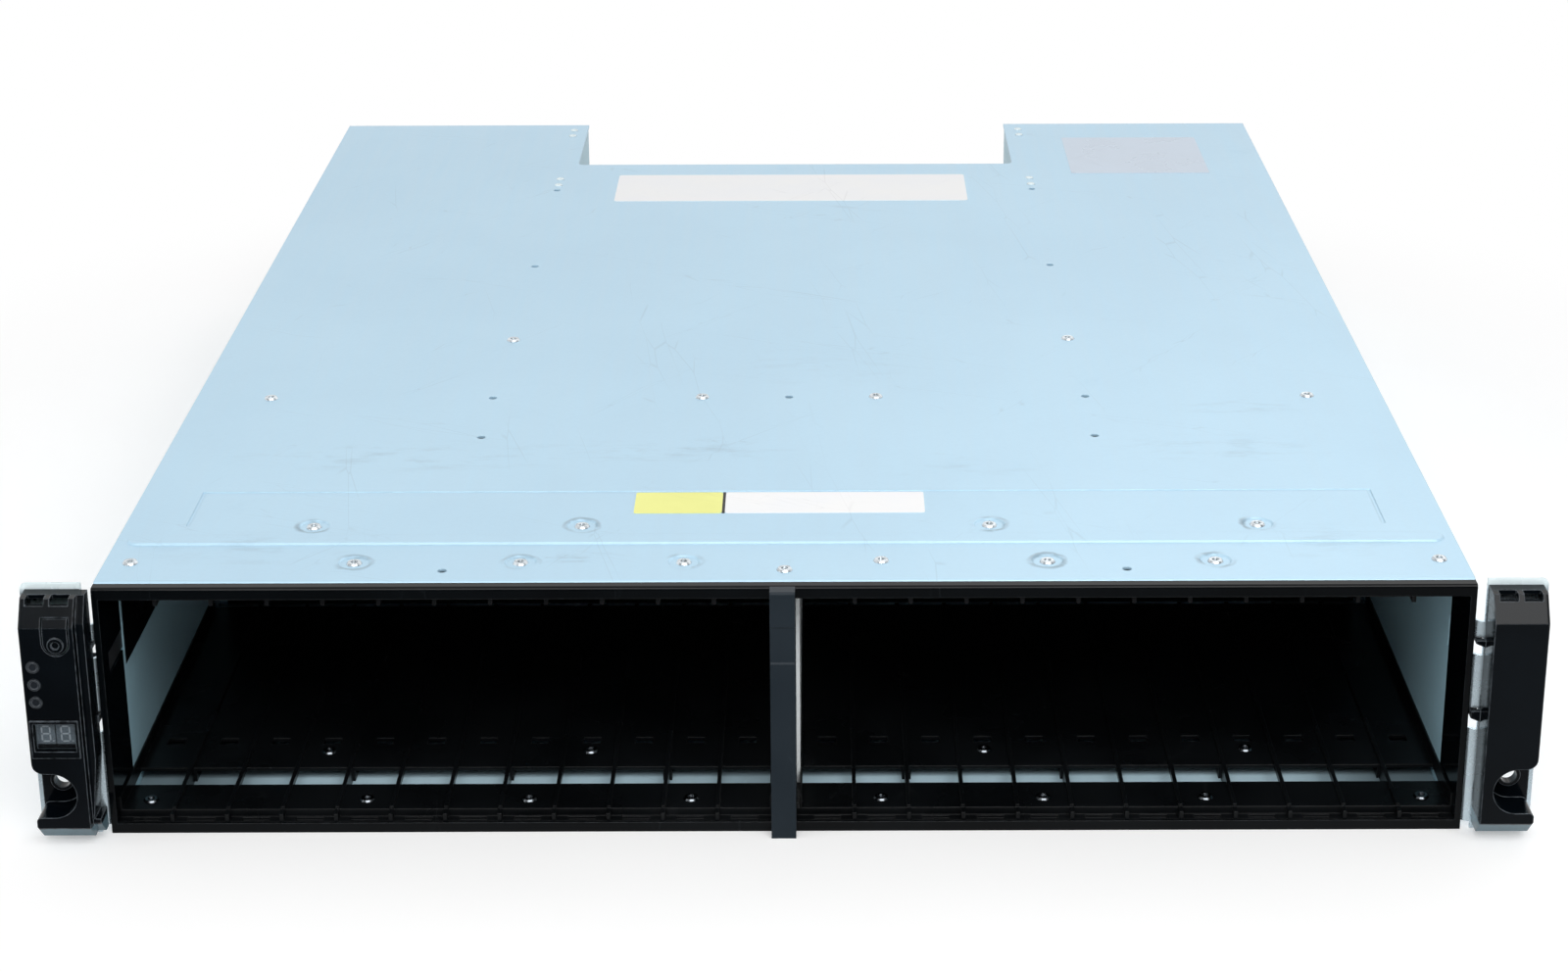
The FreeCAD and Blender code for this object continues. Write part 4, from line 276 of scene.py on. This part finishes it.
def build_scuffs():
    """Sparse short scratches, in runs with an angle and a scale, and rubbed patches."""
    group, given, result = new_group("handling_marks", {
        "Vector": ("Vector", None), "Density": ("Float", 0.5)}, {"Scratches": "Float", "Rubs": "Float"})
    total = None
    for angle, scale in SCRATCH_RUNS:
        turned = add_node(group, "ShaderNodeMapping", {"Vector": given["Vector"], "Rotation": (0, 0, angle)})
        thin = stretched(group, turned.outputs[0], (scale, scale * SCRATCH_LENGTH, scale))
        cell = add_node(group, "ShaderNodeTexVoronoi", {"Vector": thin, "Scale": 1.0},
                        feature="DISTANCE_TO_EDGE")
        hair = maths(group, "SUBTRACT", 1.0, smooth_step(group, cell.outputs["Distance"], 0.0, 0.035))
        gate = smooth_step(group, noise(group, thin, 0.35, 2.0), 0.62, 0.72)
        mark = maths(group, "MULTIPLY", hair, gate)
        total = mark if total is None else maths(group, "MAXIMUM", total, mark)
    patch = noise(group, given["Vector"], 16.0, 6.0, 0.7)
    low = maths(group, "SUBTRACT", 0.78, maths(group, "MULTIPLY", given["Density"], 0.25))
    rub = add_node(group, "ShaderNodeMapRange", {"Value": patch, "From Min": low, "From Max": 0.85})
    group.links.new(total, result.inputs["Scratches"])
    group.links.new(rub.outputs[0], result.inputs["Rubs"])
    return group


def level_gap(tree, place, centre):
    """The way from a centre to a place, seen from above."""
    gap = vectors(tree, "SUBTRACT", place, centre)["Vector"]
    return vectors(tree, "MULTIPLY", gap, (1.0, 1.0, 0.0))["Vector"]


def build_rub_ring():
    """Grey rub ring round a point of the cover, from the place and the point."""
    group, given, result = new_group("rub_ring", {
        "Vector": ("Vector", None), "Centre": ("Vector", (0, 0, 0)), "Radius": ("Float", 0.006)},
        {"Mask": "Float"})
    away = vectors(group, "LENGTH", level_gap(group, given["Vector"], given["Centre"]))["Value"]
    ripple = maths(group, "SUBTRACT", noise(group, given["Vector"], 180.0), 0.5)
    rippled = maths(group, "ADD", away, maths(group, "MULTIPLY", ripple, 0.004))
    off = maths(group, "ABSOLUTE", maths(group, "SUBTRACT", rippled, given["Radius"]))
    ring = maths(group, "SUBTRACT", 1.0, smooth_step(group, off, 0.0002, 0.0016))
    broken = smooth_step(group, noise(group, given["Vector"], 90.0, 4.0), 0.38, 0.62)
    group.links.new(maths(group, "MULTIPLY", ring, broken), result.inputs["Mask"])
    return group


def build_smudge():
    """Streaky rubbed patch round a point of the cover, with its half width and half depth."""
    group, given, result = new_group("smudge", {
        "Vector": ("Vector", None), "Centre": ("Vector", (0, 0, 0)), "Reach": ("Vector", (1.0, 1.0, 1.0))},
        {"Mask": "Float"})
    flat = level_gap(group, given["Vector"], given["Centre"])
    near = vectors(group, "DIVIDE", flat, given["Reach"])["Vector"]
    away = vectors(group, "LENGTH", near)["Value"]
    inside = maths(group, "SUBTRACT", 1.0, smooth_step(group, away, 0.15, 1.0))
    streak = noise(group, stretched(group, given["Vector"], (60.0, 190.0, 60.0)), 1.0, 5.0, 0.65)
    broken = smooth_step(group, streak, 0.46, 0.74)
    group.links.new(maths(group, "MULTIPLY", inside, broken), result.inputs["Mask"])
    return group


edge_wear_and_highlight = build_edge_wear_and_highlight()
smudge = build_smudge()
zinc_coat = build_zinc_coat()
handling_marks = build_scuffs()
rub_ring = build_rub_ring()


def tinted(tree, factor, first, second):
    """A mix of two colours; each is a colour or a socket."""
    made = add_node(tree, "ShaderNodeMix", {0: factor, 6: first, 7: second}, data_type="RGBA")
    return made.outputs[2]


def overlaid(tree, colour, mask, depth, tone):
    """A colour with a tone laid over it where a mask is high."""
    return tinted(tree, maths(tree, "MULTIPLY", mask, depth), colour, tone)


def scaled(colour, share):
    """A colour made darker or lighter by a share, at most white."""
    return tuple(min(1.0, share * channel) for channel in colour[:3]) + (1,)


def finish_surface(tree, shader_inputs):
    """The Principled shader of a material, linked to its output."""
    shader = add_node(tree, "ShaderNodeBsdfPrincipled", shader_inputs)
    tree.links.new(shader.outputs[0], tree.nodes["Material Output"].inputs["Surface"])


def part_place(tree):
    """The place on the part, in metres, which moves with it."""
    return add_node(tree, "ShaderNodeTexCoord").outputs["Object"]


PAINTED_LIGHT_ABOVE_TONE = (0.85, 0.97, 1.0, 1)
GRIME_SHARE = 0.45
PAINTED_SHADE_SHARE = 0.33
PAINTED_SHADE_FADE = 0.04


def zinc_sheet(name, light, dark, metal=0.30, rough=0.36, marks=0.5, along=(240.0, 14.0, 240.0),
               rings=(), smudges=(), top=None, relief=0.06, painted_shade_beyond=None, wear=0.6):
    """Zinc-coated sheet with its tones, metal share, roughness, marks and rolling direction.

    Options are rub rings, smudges, a height above which it is painted dull white as painted
    light, the depth of its relief, a distance from the middle beyond which it is painted darker
    as painted shade, and the wear of its edges.
    """
    material = blank_material(name)
    tree = material.node_tree
    place = part_place(tree)
    coat = place_group(tree, zinc_coat, {"Vector": place, "Along": along})
    worn_and_lit_edges = place_group(tree, edge_wear_and_highlight, {"Vector": place, "Width": 0.0005})
    scuffed = place_group(tree, handling_marks, {"Vector": place, "Density": marks})
    tone = maths(tree, "ADD", maths(tree, "MULTIPLY", coat["Cloud"], 0.55),
                 maths(tree, "MULTIPLY", coat["Lines"], 0.25))
    tone = maths(tree, "ADD", tone, maths(tree, "MULTIPLY", coat["Grain"], 0.20))
    grime = scaled(dark, GRIME_SHARE)
    colour = tinted(tree, tone, dark, light)
    colour = overlaid(tree, colour, scuffed["Rubs"], 0.16 * marks, grime)
    colour = overlaid(tree, colour, scuffed["Scratches"], 0.35 * marks, grime)
    for centre, radius, depth in rings:
        ring = place_group(tree, rub_ring, {"Vector": place, "Centre": centre, "Radius": radius})
        colour = overlaid(tree, colour, ring["Mask"], depth, grime)
    for centre, reach, depth in smudges:
        patch = place_group(tree, smudge, {"Vector": place, "Centre": centre, "Reach": reach})
        colour = overlaid(tree, colour, patch["Mask"], depth, grime)
    colour = overlaid(tree, colour, worn_and_lit_edges["Mask"], wear, scaled(light, 1.15))
    gloss = maths(tree, "ADD", spread(tree, coat["Lines"], rough - 0.04, rough + 0.05),
                  maths(tree, "MULTIPLY", scuffed["Rubs"], 0.12))
    # Painted shade: past the given distance from the middle the sheet is painted darker, standing in for
    # light falling off towards the sides.
    if painted_shade_beyond:
        sideways = maths(tree, "ABSOLUTE", on_axis(tree, place, "X"))
        outer = smooth_step(tree, sideways, painted_shade_beyond, painted_shade_beyond + PAINTED_SHADE_FADE)
        colour = overlaid(tree, colour, outer, 0.95, scaled(dark, PAINTED_SHADE_SHARE))
    # Painted light: above the given height the sheet is painted near white and made less metallic, standing
    # in for the light it catches there.
    if top:
        high = smooth_step(tree, on_axis(tree, place, "Z"), top - 0.002, top + 0.001)
        colour = tinted(tree, high, colour, PAINTED_LIGHT_ABOVE_TONE)
        metal = maths(tree, "MULTIPLY", maths(tree, "SUBTRACT", 1.0, high), metal)
    height = maths(tree, "ADD", coat["Lines"], maths(tree, "MULTIPLY", coat["Grain"], 0.3))
    bump = add_node(tree, "ShaderNodeBump", {
        "Strength": relief, "Distance": 0.0002, "Height": height, "Normal": worn_and_lit_edges["Normal"]})
    finish_surface(tree, {"Base Color": colour, "Metallic": metal, "Roughness": gloss,
                          "Normal": bump.outputs[0]})
    return material


def dress(names, material):
    """Gives CAD nodes a material through their objects' slots."""
    for name in names:
        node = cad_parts[name]
        if not node.material_slots:
            node.data.materials.append(material)
        for slot in node.material_slots:
            slot.material = material


RIDGE_RISE = 0.0007
cover_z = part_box("top_cover")[1].z - RIDGE_RISE
RING_ROWS = ((0.0196, (-0.1385, -0.085, -0.0325, 0.0845, 0.1385)),
             (0.0498, (-0.1562, -0.0674, 0.0674, 0.1562)))
RING_RADIUS = 0.0056
rub_places = [((x, front_y + back, 0.0), RING_RADIUS, 0.75) for back, row in RING_ROWS for x in row]
SMUDGES = ((-0.135, 0.112, 0.075, 0.020, 0.30), (-0.040, 0.118, 0.060, 0.016, 0.30),
           (-0.070, 0.023, 0.026, 0.006, 0.75), (0.150, 0.118, 0.050, 0.018, 0.25),
           (0.060, 0.100, 0.040, 0.012, 0.18), (-0.175, 0.030, 0.040, 0.020, 0.25),
           (0.175, 0.035, 0.045, 0.020, 0.22), (0.010, 0.205, 0.050, 0.030, 0.14),
           (0.165, 0.160, 0.030, 0.012, 0.25))
smudge_places = [((x, front_y + back, 0.0), (wide, deep, 1.0), strength)
                 for x, back, wide, deep, strength in SMUDGES]
cover_zinc = zinc_sheet("cover_zinc", (0.52, 0.74, 0.89, 1), (0.48, 0.69, 0.84, 1),
                        rings=rub_places, smudges=smudge_places)
dress(["top_cover"], cover_zinc)
cap_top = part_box("end_cap_right")[1].z
# The side walls and rivets are painted near white above the caps' top, a painted light.
wall_zinc = zinc_sheet("wall_zinc", (0.74, 0.88, 0.96, 1), (0.70, 0.84, 0.92, 1), metal=0.8, rough=0.28,
                       marks=0.3, top=cap_top, relief=0.012, wear=0.0)
dress(["side_wall_left", "side_wall_right", "cover_rivets"], wall_zinc)
# The floor is a lighter, less metallic copy of the cover's zinc, a painted lift of light where it shows
# through the guide windows; towards the sides it is painted darker as painted shade.
base_zinc_painted_light_and_shade = zinc_sheet("base_zinc_painted_light_and_shade", (0.62, 0.84, 0.94, 1), (0.54, 0.75, 0.85, 1), metal=0.05, marks=0.8,
                       painted_shade_beyond=0.16)
dress(["bottom_panel"], base_zinc_painted_light_and_shade)

# ---------------------------------------------------------------- Inner sheet metal
# Liners of the drive cage, midplane bracket, bay walls and module shelf: duller grey zinc
# sheet with fine drawing lines and brighter cut edges. The divider is plain pale zinc.
cage_zinc = zinc_sheet("cage_zinc", (0.42, 0.66, 0.76, 1), (0.35, 0.56, 0.66, 1), metal=0.15, rough=0.42)
dress(["cage_side_left", "cage_side_right", "midplane_bracket", "psu_bay_wall_left",
       "psu_bay_wall_right", "canister_shelf"], cage_zinc)
divider_zinc = zinc_sheet("divider_zinc", (0.95, 1.0, 1.0, 1), (0.88, 0.94, 0.97, 1), metal=0.02)
dress(["centre_divider"], divider_zinc)


# ---------------------------------------------------------------- Black mouldings
# Drive guides, front frame, end caps, centre bar and cable cover: black ABS-polycarbonate.
# The guides have a fine spark-eroded grain; the frame and the end caps are polished and
# pick up hairlines. Edges are painted paler: wear, and on the frame and caps also a painted
# highlight. The foot of each cap is painted pale as a painted reflection. The bar is satin dark grey.
def build_fine_grain():
    """Fine moulded grain and faint flow clouding."""
    group, given, result = new_group("moulded_grain", {
        "Vector": ("Vector", None), "Scale": ("Float", 2600.0)}, {"Grain": "Float", "Flow": "Float"})
    speck = add_node(group, "ShaderNodeTexNoise", {
        "Vector": given["Vector"], "Scale": given["Scale"], "Detail": 2.0})
    group.links.new(speck.outputs["Fac"], result.inputs["Grain"])
    group.links.new(smooth_step(group, noise(group, given["Vector"], 22.0, 4.0), 0.3, 0.7),
                    result.inputs["Flow"])
    return group


moulded_grain = build_fine_grain()
# Painted reflection: between these heights the foot of each cap is painted pale grey-blue, standing in for
# the reflection on its rounded nose.
FOOT_LOW = 0.0030
FOOT_HIGH = 0.0085
FOOT_REFLECTION_TONE = (0.13, 0.21, 0.25, 1)


def foot_reflection_mask(tree, place, low, high):
    """Mask of the painted reflection on the foot between two heights, with a wavy upper rim."""
    level = on_axis(tree, place, "Z")
    ripple = maths(tree, "MULTIPLY", maths(tree, "SUBTRACT", noise(tree, place, 160.0), 0.5), 0.002)
    above = smooth_step(tree, maths(tree, "ADD", level, ripple), high - 0.001, high)
    below = maths(tree, "SUBTRACT", 1.0, above)
    return maths(tree, "MULTIPLY", below, smooth_step(tree, level, 0.0, low))


def moulding(name, dark, light, rough, grain=0.25, wear=0.5, specular=0.5, marks=0.2, scale=2600.0,
             wear_and_highlight_tone=None, breakup=0.35, foot=None):
    """Moulded plastic with its tones, roughness, grain, wear, specular level and hairlines.

    Options are the scale of the grain, the tone of the paler edges, how broken up they are, and
    the heights between which the foot is painted pale as a painted reflection.
    """
    material = blank_material(name)
    tree = material.node_tree
    place = part_place(tree)
    skin = place_group(tree, moulded_grain, {"Vector": place, "Scale": scale})
    worn_and_lit_edges = place_group(tree, edge_wear_and_highlight, {"Vector": place, "Width": 0.0005, "Breakup": 420.0,
                                         "Broken": breakup})
    scuffed = place_group(tree, handling_marks, {"Vector": place, "Density": marks})
    pale = wear_and_highlight_tone or tuple(min(1.0, 2.2 * channel + 0.02) for channel in light[:3]) + (1,)
    colour = tinted(tree, skin["Flow"], dark, light)
    # Edges are painted paler: wear, and on the polished frame, caps and light guides also a painted
    # highlight.
    colour = overlaid(tree, colour, worn_and_lit_edges["Mask"], wear, pale)
    colour = overlaid(tree, colour, scuffed["Scratches"], marks, pale)
    # Painted reflection on the foot of the caps.
    if foot:
        colour = overlaid(tree, colour, foot_reflection_mask(tree, place, *foot), 0.9, FOOT_REFLECTION_TONE)
    gloss = maths(tree, "ADD", spread(tree, skin["Flow"], max(0.02, rough - 0.03), rough + 0.04),
                  maths(tree, "MULTIPLY", scuffed["Rubs"], 0.15))
    bump = add_node(tree, "ShaderNodeBump", {
        "Strength": grain, "Distance": 0.00005, "Height": skin["Grain"], "Normal": worn_and_lit_edges["Normal"]})
    finish_surface(tree, {"Base Color": colour, "Roughness": gloss, "Specular IOR Level": specular,
                          "Normal": bump.outputs[0]})
    return material


grained_black = moulding("grained_black", (0.002, 0.0025, 0.003, 1), (0.005, 0.006, 0.007, 1), 0.28,
                         specular=0.18, wear=0.35)
dress(["drive_guide_bottom", "drive_guide_top", "display_cable_cover"], grained_black)
# The frame's faintly paler edges are partly wear and partly a painted highlight.
polished_black = moulding("polished_black", (0.0005, 0.001, 0.0015, 1), (0.0015, 0.0025, 0.0035, 1), 0.10,
                          grain=0.04, marks=0.12, specular=0.16, wear=0.7, wear_and_highlight_tone=(0.03, 0.038, 0.045, 1))
dress(["front_frame"], polished_black)
# The caps and the button carry strongly pale edges and groove lines, mostly a painted highlight, with some
# wear.
cap_black = moulding("cap_black", (0.0008, 0.0016, 0.0026, 1), (0.0022, 0.0040, 0.0060, 1), 0.11,
                     grain=0.04, marks=0.12, specular=0.16, wear=1.0, wear_and_highlight_tone=(0.19, 0.22, 0.25, 1),
                     breakup=0.2, foot=(FOOT_LOW, FOOT_HIGH))
dress(["end_cap_left", "end_cap_right", "id_button"], cap_black)
satin_trim = moulding("satin_trim", (0.010, 0.017, 0.024, 1), (0.014, 0.022, 0.030, 1), 0.38, grain=0.15,
                      specular=0.20)
dress(["centre_bar"], satin_trim)


# ---------------------------------------------------------------- Screws
# Low round heads with a socket, turned and slightly rubbed: bright zinc plate on the cover
# and dark plate in the drive guides.
def plated_metal(name, colour, rough=0.22):
    """Plated steel with fine turning marks and wear."""
    material = blank_material(name)
    tree = material.node_tree
    place = part_place(tree)
    worn_and_lit_edges = place_group(tree, edge_wear_and_highlight, {"Vector": place, "Width": 0.0003, "Breakup": 900.0})
    cloud = smooth_step(tree, noise(tree, place, 700.0, 4.0), 0.3, 0.7)
    tone = tinted(tree, cloud, scaled(colour, 0.6), colour)
    bump = add_node(tree, "ShaderNodeBump", {
        "Strength": 0.1, "Distance": 0.0001, "Height": cloud, "Normal": worn_and_lit_edges["Normal"]})
    finish_surface(tree, {"Base Color": tone, "Metallic": 1.0, "Normal": bump.outputs[0],
                          "Roughness": spread(tree, cloud, rough, rough + 0.12)})
    return material


bright_plate = plated_metal("bright_plate", (0.80, 0.86, 0.90, 1))
dress(["cover_screws"], bright_plate)
dark_plate = plated_metal("dark_plate", (0.20, 0.22, 0.24, 1), 0.14)
dress(["guide_screws"], dark_plate)

# ---------------------------------------------------------------- Boards and connectors
# The midplane board has a near-black solder mask, also painted shade that keeps the back of the
# bays black, and the small boards a green one, over glass-epoxy laminate. Connectors are
# black mouldings; the display's ribbon has a dark jacket.
# The midplane board's near-black mask is also painted shade for the back of the bays.
midplane_mask_and_shade = moulding("dark_solder_mask_and_shade", (0.004, 0.010, 0.008, 1), (0.006, 0.016, 0.012, 1), 0.3)
dress(["midplane_board"], midplane_mask_and_shade)
green_mask = moulding("green_solder_mask", (0.01, 0.06, 0.03, 1), (0.015, 0.09, 0.045, 1), 0.3)
dress(["display_board", "psu_left_board", "psu_right_board", "io_lower_board", "io_upper_board"], green_mask)
connector_black = moulding("connector_black", (0.006, 0.006, 0.007, 1), (0.010, 0.010, 0.011, 1), 0.35)
dress(["drive_connectors", "module_connectors"], connector_black)
ribbon_dark = moulding("ribbon_dark", (0.010, 0.012, 0.014, 1), (0.018, 0.020, 0.023, 1), 0.5)
dress(["display_ribbon"], ribbon_dark)

# ---------------------------------------------------------------- Cap controls
# Smoked light guides and the two-digit display: a grey filter face with pale unlit bars,
# behind a thin clear window with polished edges. The printed bars lie on the face.
# The light guides' pale edges are mostly a painted highlight, with some wear.
smoked_guide = moulding("smoked_guide", (0.010, 0.013, 0.017, 1), (0.018, 0.022, 0.028, 1), 0.10, grain=0.0,
                        wear=1.0, specular=0.3, wear_and_highlight_tone=(0.16, 0.18, 0.20, 1), breakup=0.2)
dress(["status_lights"], smoked_guide)
display_grey = moulding("display_grey", (0.195, 0.25, 0.295, 1), (0.215, 0.275, 0.32, 1), 0.4, scale=900.0)
dress(["display_module"], display_grey)


def window_material():
    """Clear acrylic, a little smoked, with wiping hairlines."""
    material = blank_material("window_clear")
    tree = material.node_tree
    place = part_place(tree)
    scuffed = place_group(tree, handling_marks, {"Vector": place, "Density": 0.3})
    cloud = smooth_step(tree, noise(tree, place, 300.0, 3.0), 0.3, 0.7)
    film = maths(tree, "MAXIMUM", scuffed["Scratches"], cloud)
    finish_surface(tree, {"Base Color": (0.02, 0.025, 0.03, 1), "Roughness": spread(tree, cloud, 0.04, 0.09),
                          "Alpha": spread(tree, film, 0.12, 0.20)})
    return material


dress(["display_window"], window_material())


def joined(name, corners, faces, material, body):
    """A mesh object that rides on a body."""
    mesh = bpy.data.meshes.new(name)
    mesh.from_pydata(corners, [], faces)
    mesh.materials.append(material)
    piece = bpy.data.objects.new(name, mesh)
    bpy.context.scene.collection.objects.link(piece)
    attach(piece, body)


def round_outline(x, y, radius, degrees):
    """Points of a circle, or of a part of it, at the given angles."""
    return [(x + radius * math.cos(math.radians(turn)), y + radius * math.sin(math.radians(turn)))
            for turn in degrees]


def bar_outline(x, z, length, thick, upright):
    """A display bar: a long hexagon, upright or level, round its middle."""
    long, half = length / 2, thick / 2
    shape = [(-long, 0), (-long + half, -half), (long - half, -half), (long, 0), (long - half, half),
             (-long + half, half)]
    turned = [(-v, u) if upright else (u, v) for u, v in shape]
    return [(x + u, z + v) for u, v in turned]


face_low, face_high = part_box("display_module")
PRINT_PROUD = 0.00003


def print_pieces(name, outlines, material):
    """One object of closed prints that stand a little proud of the display's face."""
    corners, faces = [], []
    for outline in outlines:
        count, start = len(outline), len(corners)
        back = start + count
        corners += [(x, face_low.y - PRINT_PROUD, z) for x, z in outline]
        corners += [(x, face_low.y, z) for x, z in outline]
        faces += [tuple(range(back - 1, start - 1, -1)), tuple(range(back, back + count))]
        faces += [(start + i, start + (i + 1) % count, back + (i + 1) % count, back + i)
                  for i in range(count)]
    joined(name, corners, faces, material, "chassis")


DIGIT_PITCH = 0.0062
DIGIT_HALF_WIDTH = 0.0013
DIGIT_HALF_HEIGHT = 0.0026
DIGIT_LIFT = 0.0007
BAR_THICK = 0.00050
BAR_SHARE = 0.86
DOT_RADIUS = 0.00028
DOT_GAP = 0.0009
middle_x = (face_low.x + face_high.x) / 2
middle_z = (face_low.z + face_high.z) / 2 + DIGIT_LIFT
bars = [(0, level * DIGIT_HALF_HEIGHT, 2 * DIGIT_HALF_WIDTH, False) for level in (-1, 0, 1)]
bars += [(side * DIGIT_HALF_WIDTH, level * DIGIT_HALF_HEIGHT / 2, DIGIT_HALF_HEIGHT, True)
         for side in (-1, 1) for level in (-1, 1)]
prints = []
for digit in (-0.5, 0.5):
    centre_x = middle_x + digit * DIGIT_PITCH
    prints += [bar_outline(centre_x + across, middle_z + up, BAR_SHARE * length, BAR_THICK, upright)
               for across, up, length, upright in bars]
    # The decimal point beside each digit.
    prints.append(round_outline(centre_x + DIGIT_HALF_WIDTH + DOT_GAP, middle_z - DIGIT_HALF_HEIGHT,
                                DOT_RADIUS, range(0, 360, 60)))
unlit_bar = moulding("unlit_bar", (0.32, 0.38, 0.42, 1), (0.36, 0.42, 0.46, 1), 0.45, scale=900.0)
print_pieces("display_digits", prints, unlit_bar)

SEAM_HALF = 0.00012
MASK_RIM = 0.0001
CHIN_INSET = 0.0003
CHIN_HEIGHT = 0.0016


def upright_box(left, right, low, high):
    """The outline of a rectangle on the display's face."""
    return [(left, low), (right, low), (right, high), (left, high)]


seam = upright_box(middle_x - SEAM_HALF, middle_x + SEAM_HALF, face_low.z + CHIN_HEIGHT,
                   face_high.z - MASK_RIM)
chin = upright_box(face_low.x + CHIN_INSET, face_high.x - CHIN_INSET, face_low.z + MASK_RIM,
                   face_low.z + CHIN_HEIGHT)
print_pieces("display_mask", [seam, chin], polished_black)

# ---------------------------------------------------------------- Cover labels
# Three blank self-adhesive labels: a white one along the rear edge, a pale blue one on the
# right rear wing and a yellow and white one behind the step. Printed film, rolled on.
LABEL_FILM = 0.00012


def film_material(name, light, dark, rough=0.42):
    """Label film with faint wrinkles and rubbed dirt."""
    material = blank_material(name)
    tree = material.node_tree
    place = part_place(tree)
    scuffed = place_group(tree, handling_marks, {"Vector": place, "Density": 0.7})
    cloud = smooth_step(tree, noise(tree, place, 45.0, 5.0), 0.3, 0.7)
    dirt = scaled(dark, 0.7)
    colour = tinted(tree, cloud, dark, light)
    colour = overlaid(tree, colour, scuffed["Rubs"], 0.25, dirt)
    colour = overlaid(tree, colour, scuffed["Scratches"], 0.3, dirt)
    wrinkle = noise(tree, stretched(tree, place, (30.0, 120.0, 30.0)), 1.0, 4.0)
    bump = add_node(tree, "ShaderNodeBump", {"Strength": 0.15, "Distance": 0.0002, "Height": wrinkle})
    finish_surface(tree, {"Base Color": colour, "Normal": bump.outputs[0],
                          "Roughness": spread(tree, cloud, rough - 0.05, rough + 0.06)})
    return material


def label(name, left, right, near, far, radius, material):
    """A thin film with round corners on the cover; sizes from the cover's middle and front."""
    turns = (0, 30, 60, 90)
    corners = [(right - radius, far - radius, 0), (left + radius, far - radius, 90),
               (left + radius, near + radius, 180), (right - radius, near + radius, 270)]
    outline = [point for x, y, turn in corners
               for point in round_outline(x, y, radius, [turn + step for step in turns])]
    count = len(outline)
    top = [(x, front_y + y, cover_z + LABEL_FILM) for x, y in outline]
    base = [(x, front_y + y, cover_z) for x, y in outline]
    faces = [tuple(range(count)), tuple(range(2 * count - 1, count - 1, -1))]
    faces += [(i, count + i, count + (i + 1) % count, (i + 1) % count) for i in range(count)]
    joined(name, top + base, faces, material, "chassis")


white_film = film_material("white_film", (1.0, 1.0, 1.0, 1), (0.97, 0.98, 1.0, 1))
pale_film = film_material("pale_film", (0.64, 0.74, 0.86, 1), (0.60, 0.70, 0.82, 1), 0.3)
yellow_film = film_material("yellow_film", (0.95, 0.96, 0.32, 1), (0.90, 0.91, 0.27, 1))
CORNER = 0.0010
REAR_CORNER = 0.0015
RULE_CORNER = 0.0002
FRONT_NEAR = 0.0597
FRONT_FAR = 0.078
YELLOW_RIGHT = -0.0215
WHITE_LEFT = -0.0205
label("rear_label", -0.081, 0.078, 0.425, 0.467, REAR_CORNER, white_film)
label("wing_label", 0.128, 0.192, 0.468, 0.530, CORNER, pale_film)
label("front_label_white", WHITE_LEFT, 0.0465, FRONT_NEAR, FRONT_FAR, CORNER, white_film)
label("front_label_yellow", -0.051, YELLOW_RIGHT, FRONT_NEAR, FRONT_FAR, CORNER, yellow_film)
label("front_label_rule", YELLOW_RIGHT, WHITE_LEFT, FRONT_NEAR, FRONT_FAR, RULE_CORNER, polished_black)

# ---------------------------------------------------------------- Power and I/O modules
# Folded zinc casings with a perforated rear, black fan, mains inlet and rocker, a grey
# pull grip and dark blue levers and latches. Ports are plated shells pressed into the rear.
module_zinc = zinc_sheet("module_zinc", (0.44, 0.51, 0.55, 1), (0.37, 0.43, 0.47, 1), metal=0.45, rough=0.40,
                         along=(240.0, 10.0, 240.0))
grip_grey = moulding("grip_grey", (0.035, 0.038, 0.042, 1), (0.05, 0.055, 0.06, 1), 0.42)
lever_blue = moulding("lever_blue", (0.03, 0.05, 0.08, 1), (0.04, 0.065, 0.10, 1), 0.36)
fan_black = moulding("fan_black", (0.008, 0.008, 0.009, 1), (0.014, 0.014, 0.015, 1), 0.4)
BLACK_PIECES = ("fan_frame", "fan_rotor", "inlet", "switch_frame", "rocker")
for side in ("left", "right"):
    dress(["psu_%s_casing" % side], module_zinc)
    dress(["psu_%s_handle" % side], grip_grey)
    dress(["psu_%s_latch" % side], lever_blue)
    dress(["psu_%s_%s" % (side, piece) for piece in BLACK_PIECES], fan_black)
for level in ("lower", "upper"):
    dress(["io_%s_casing" % level], module_zinc)
    dress(["io_%s_ports" % level], bright_plate)
    dress(["io_%s_lever_%s" % (level, side) for side in ("left", "right")], lever_blue)
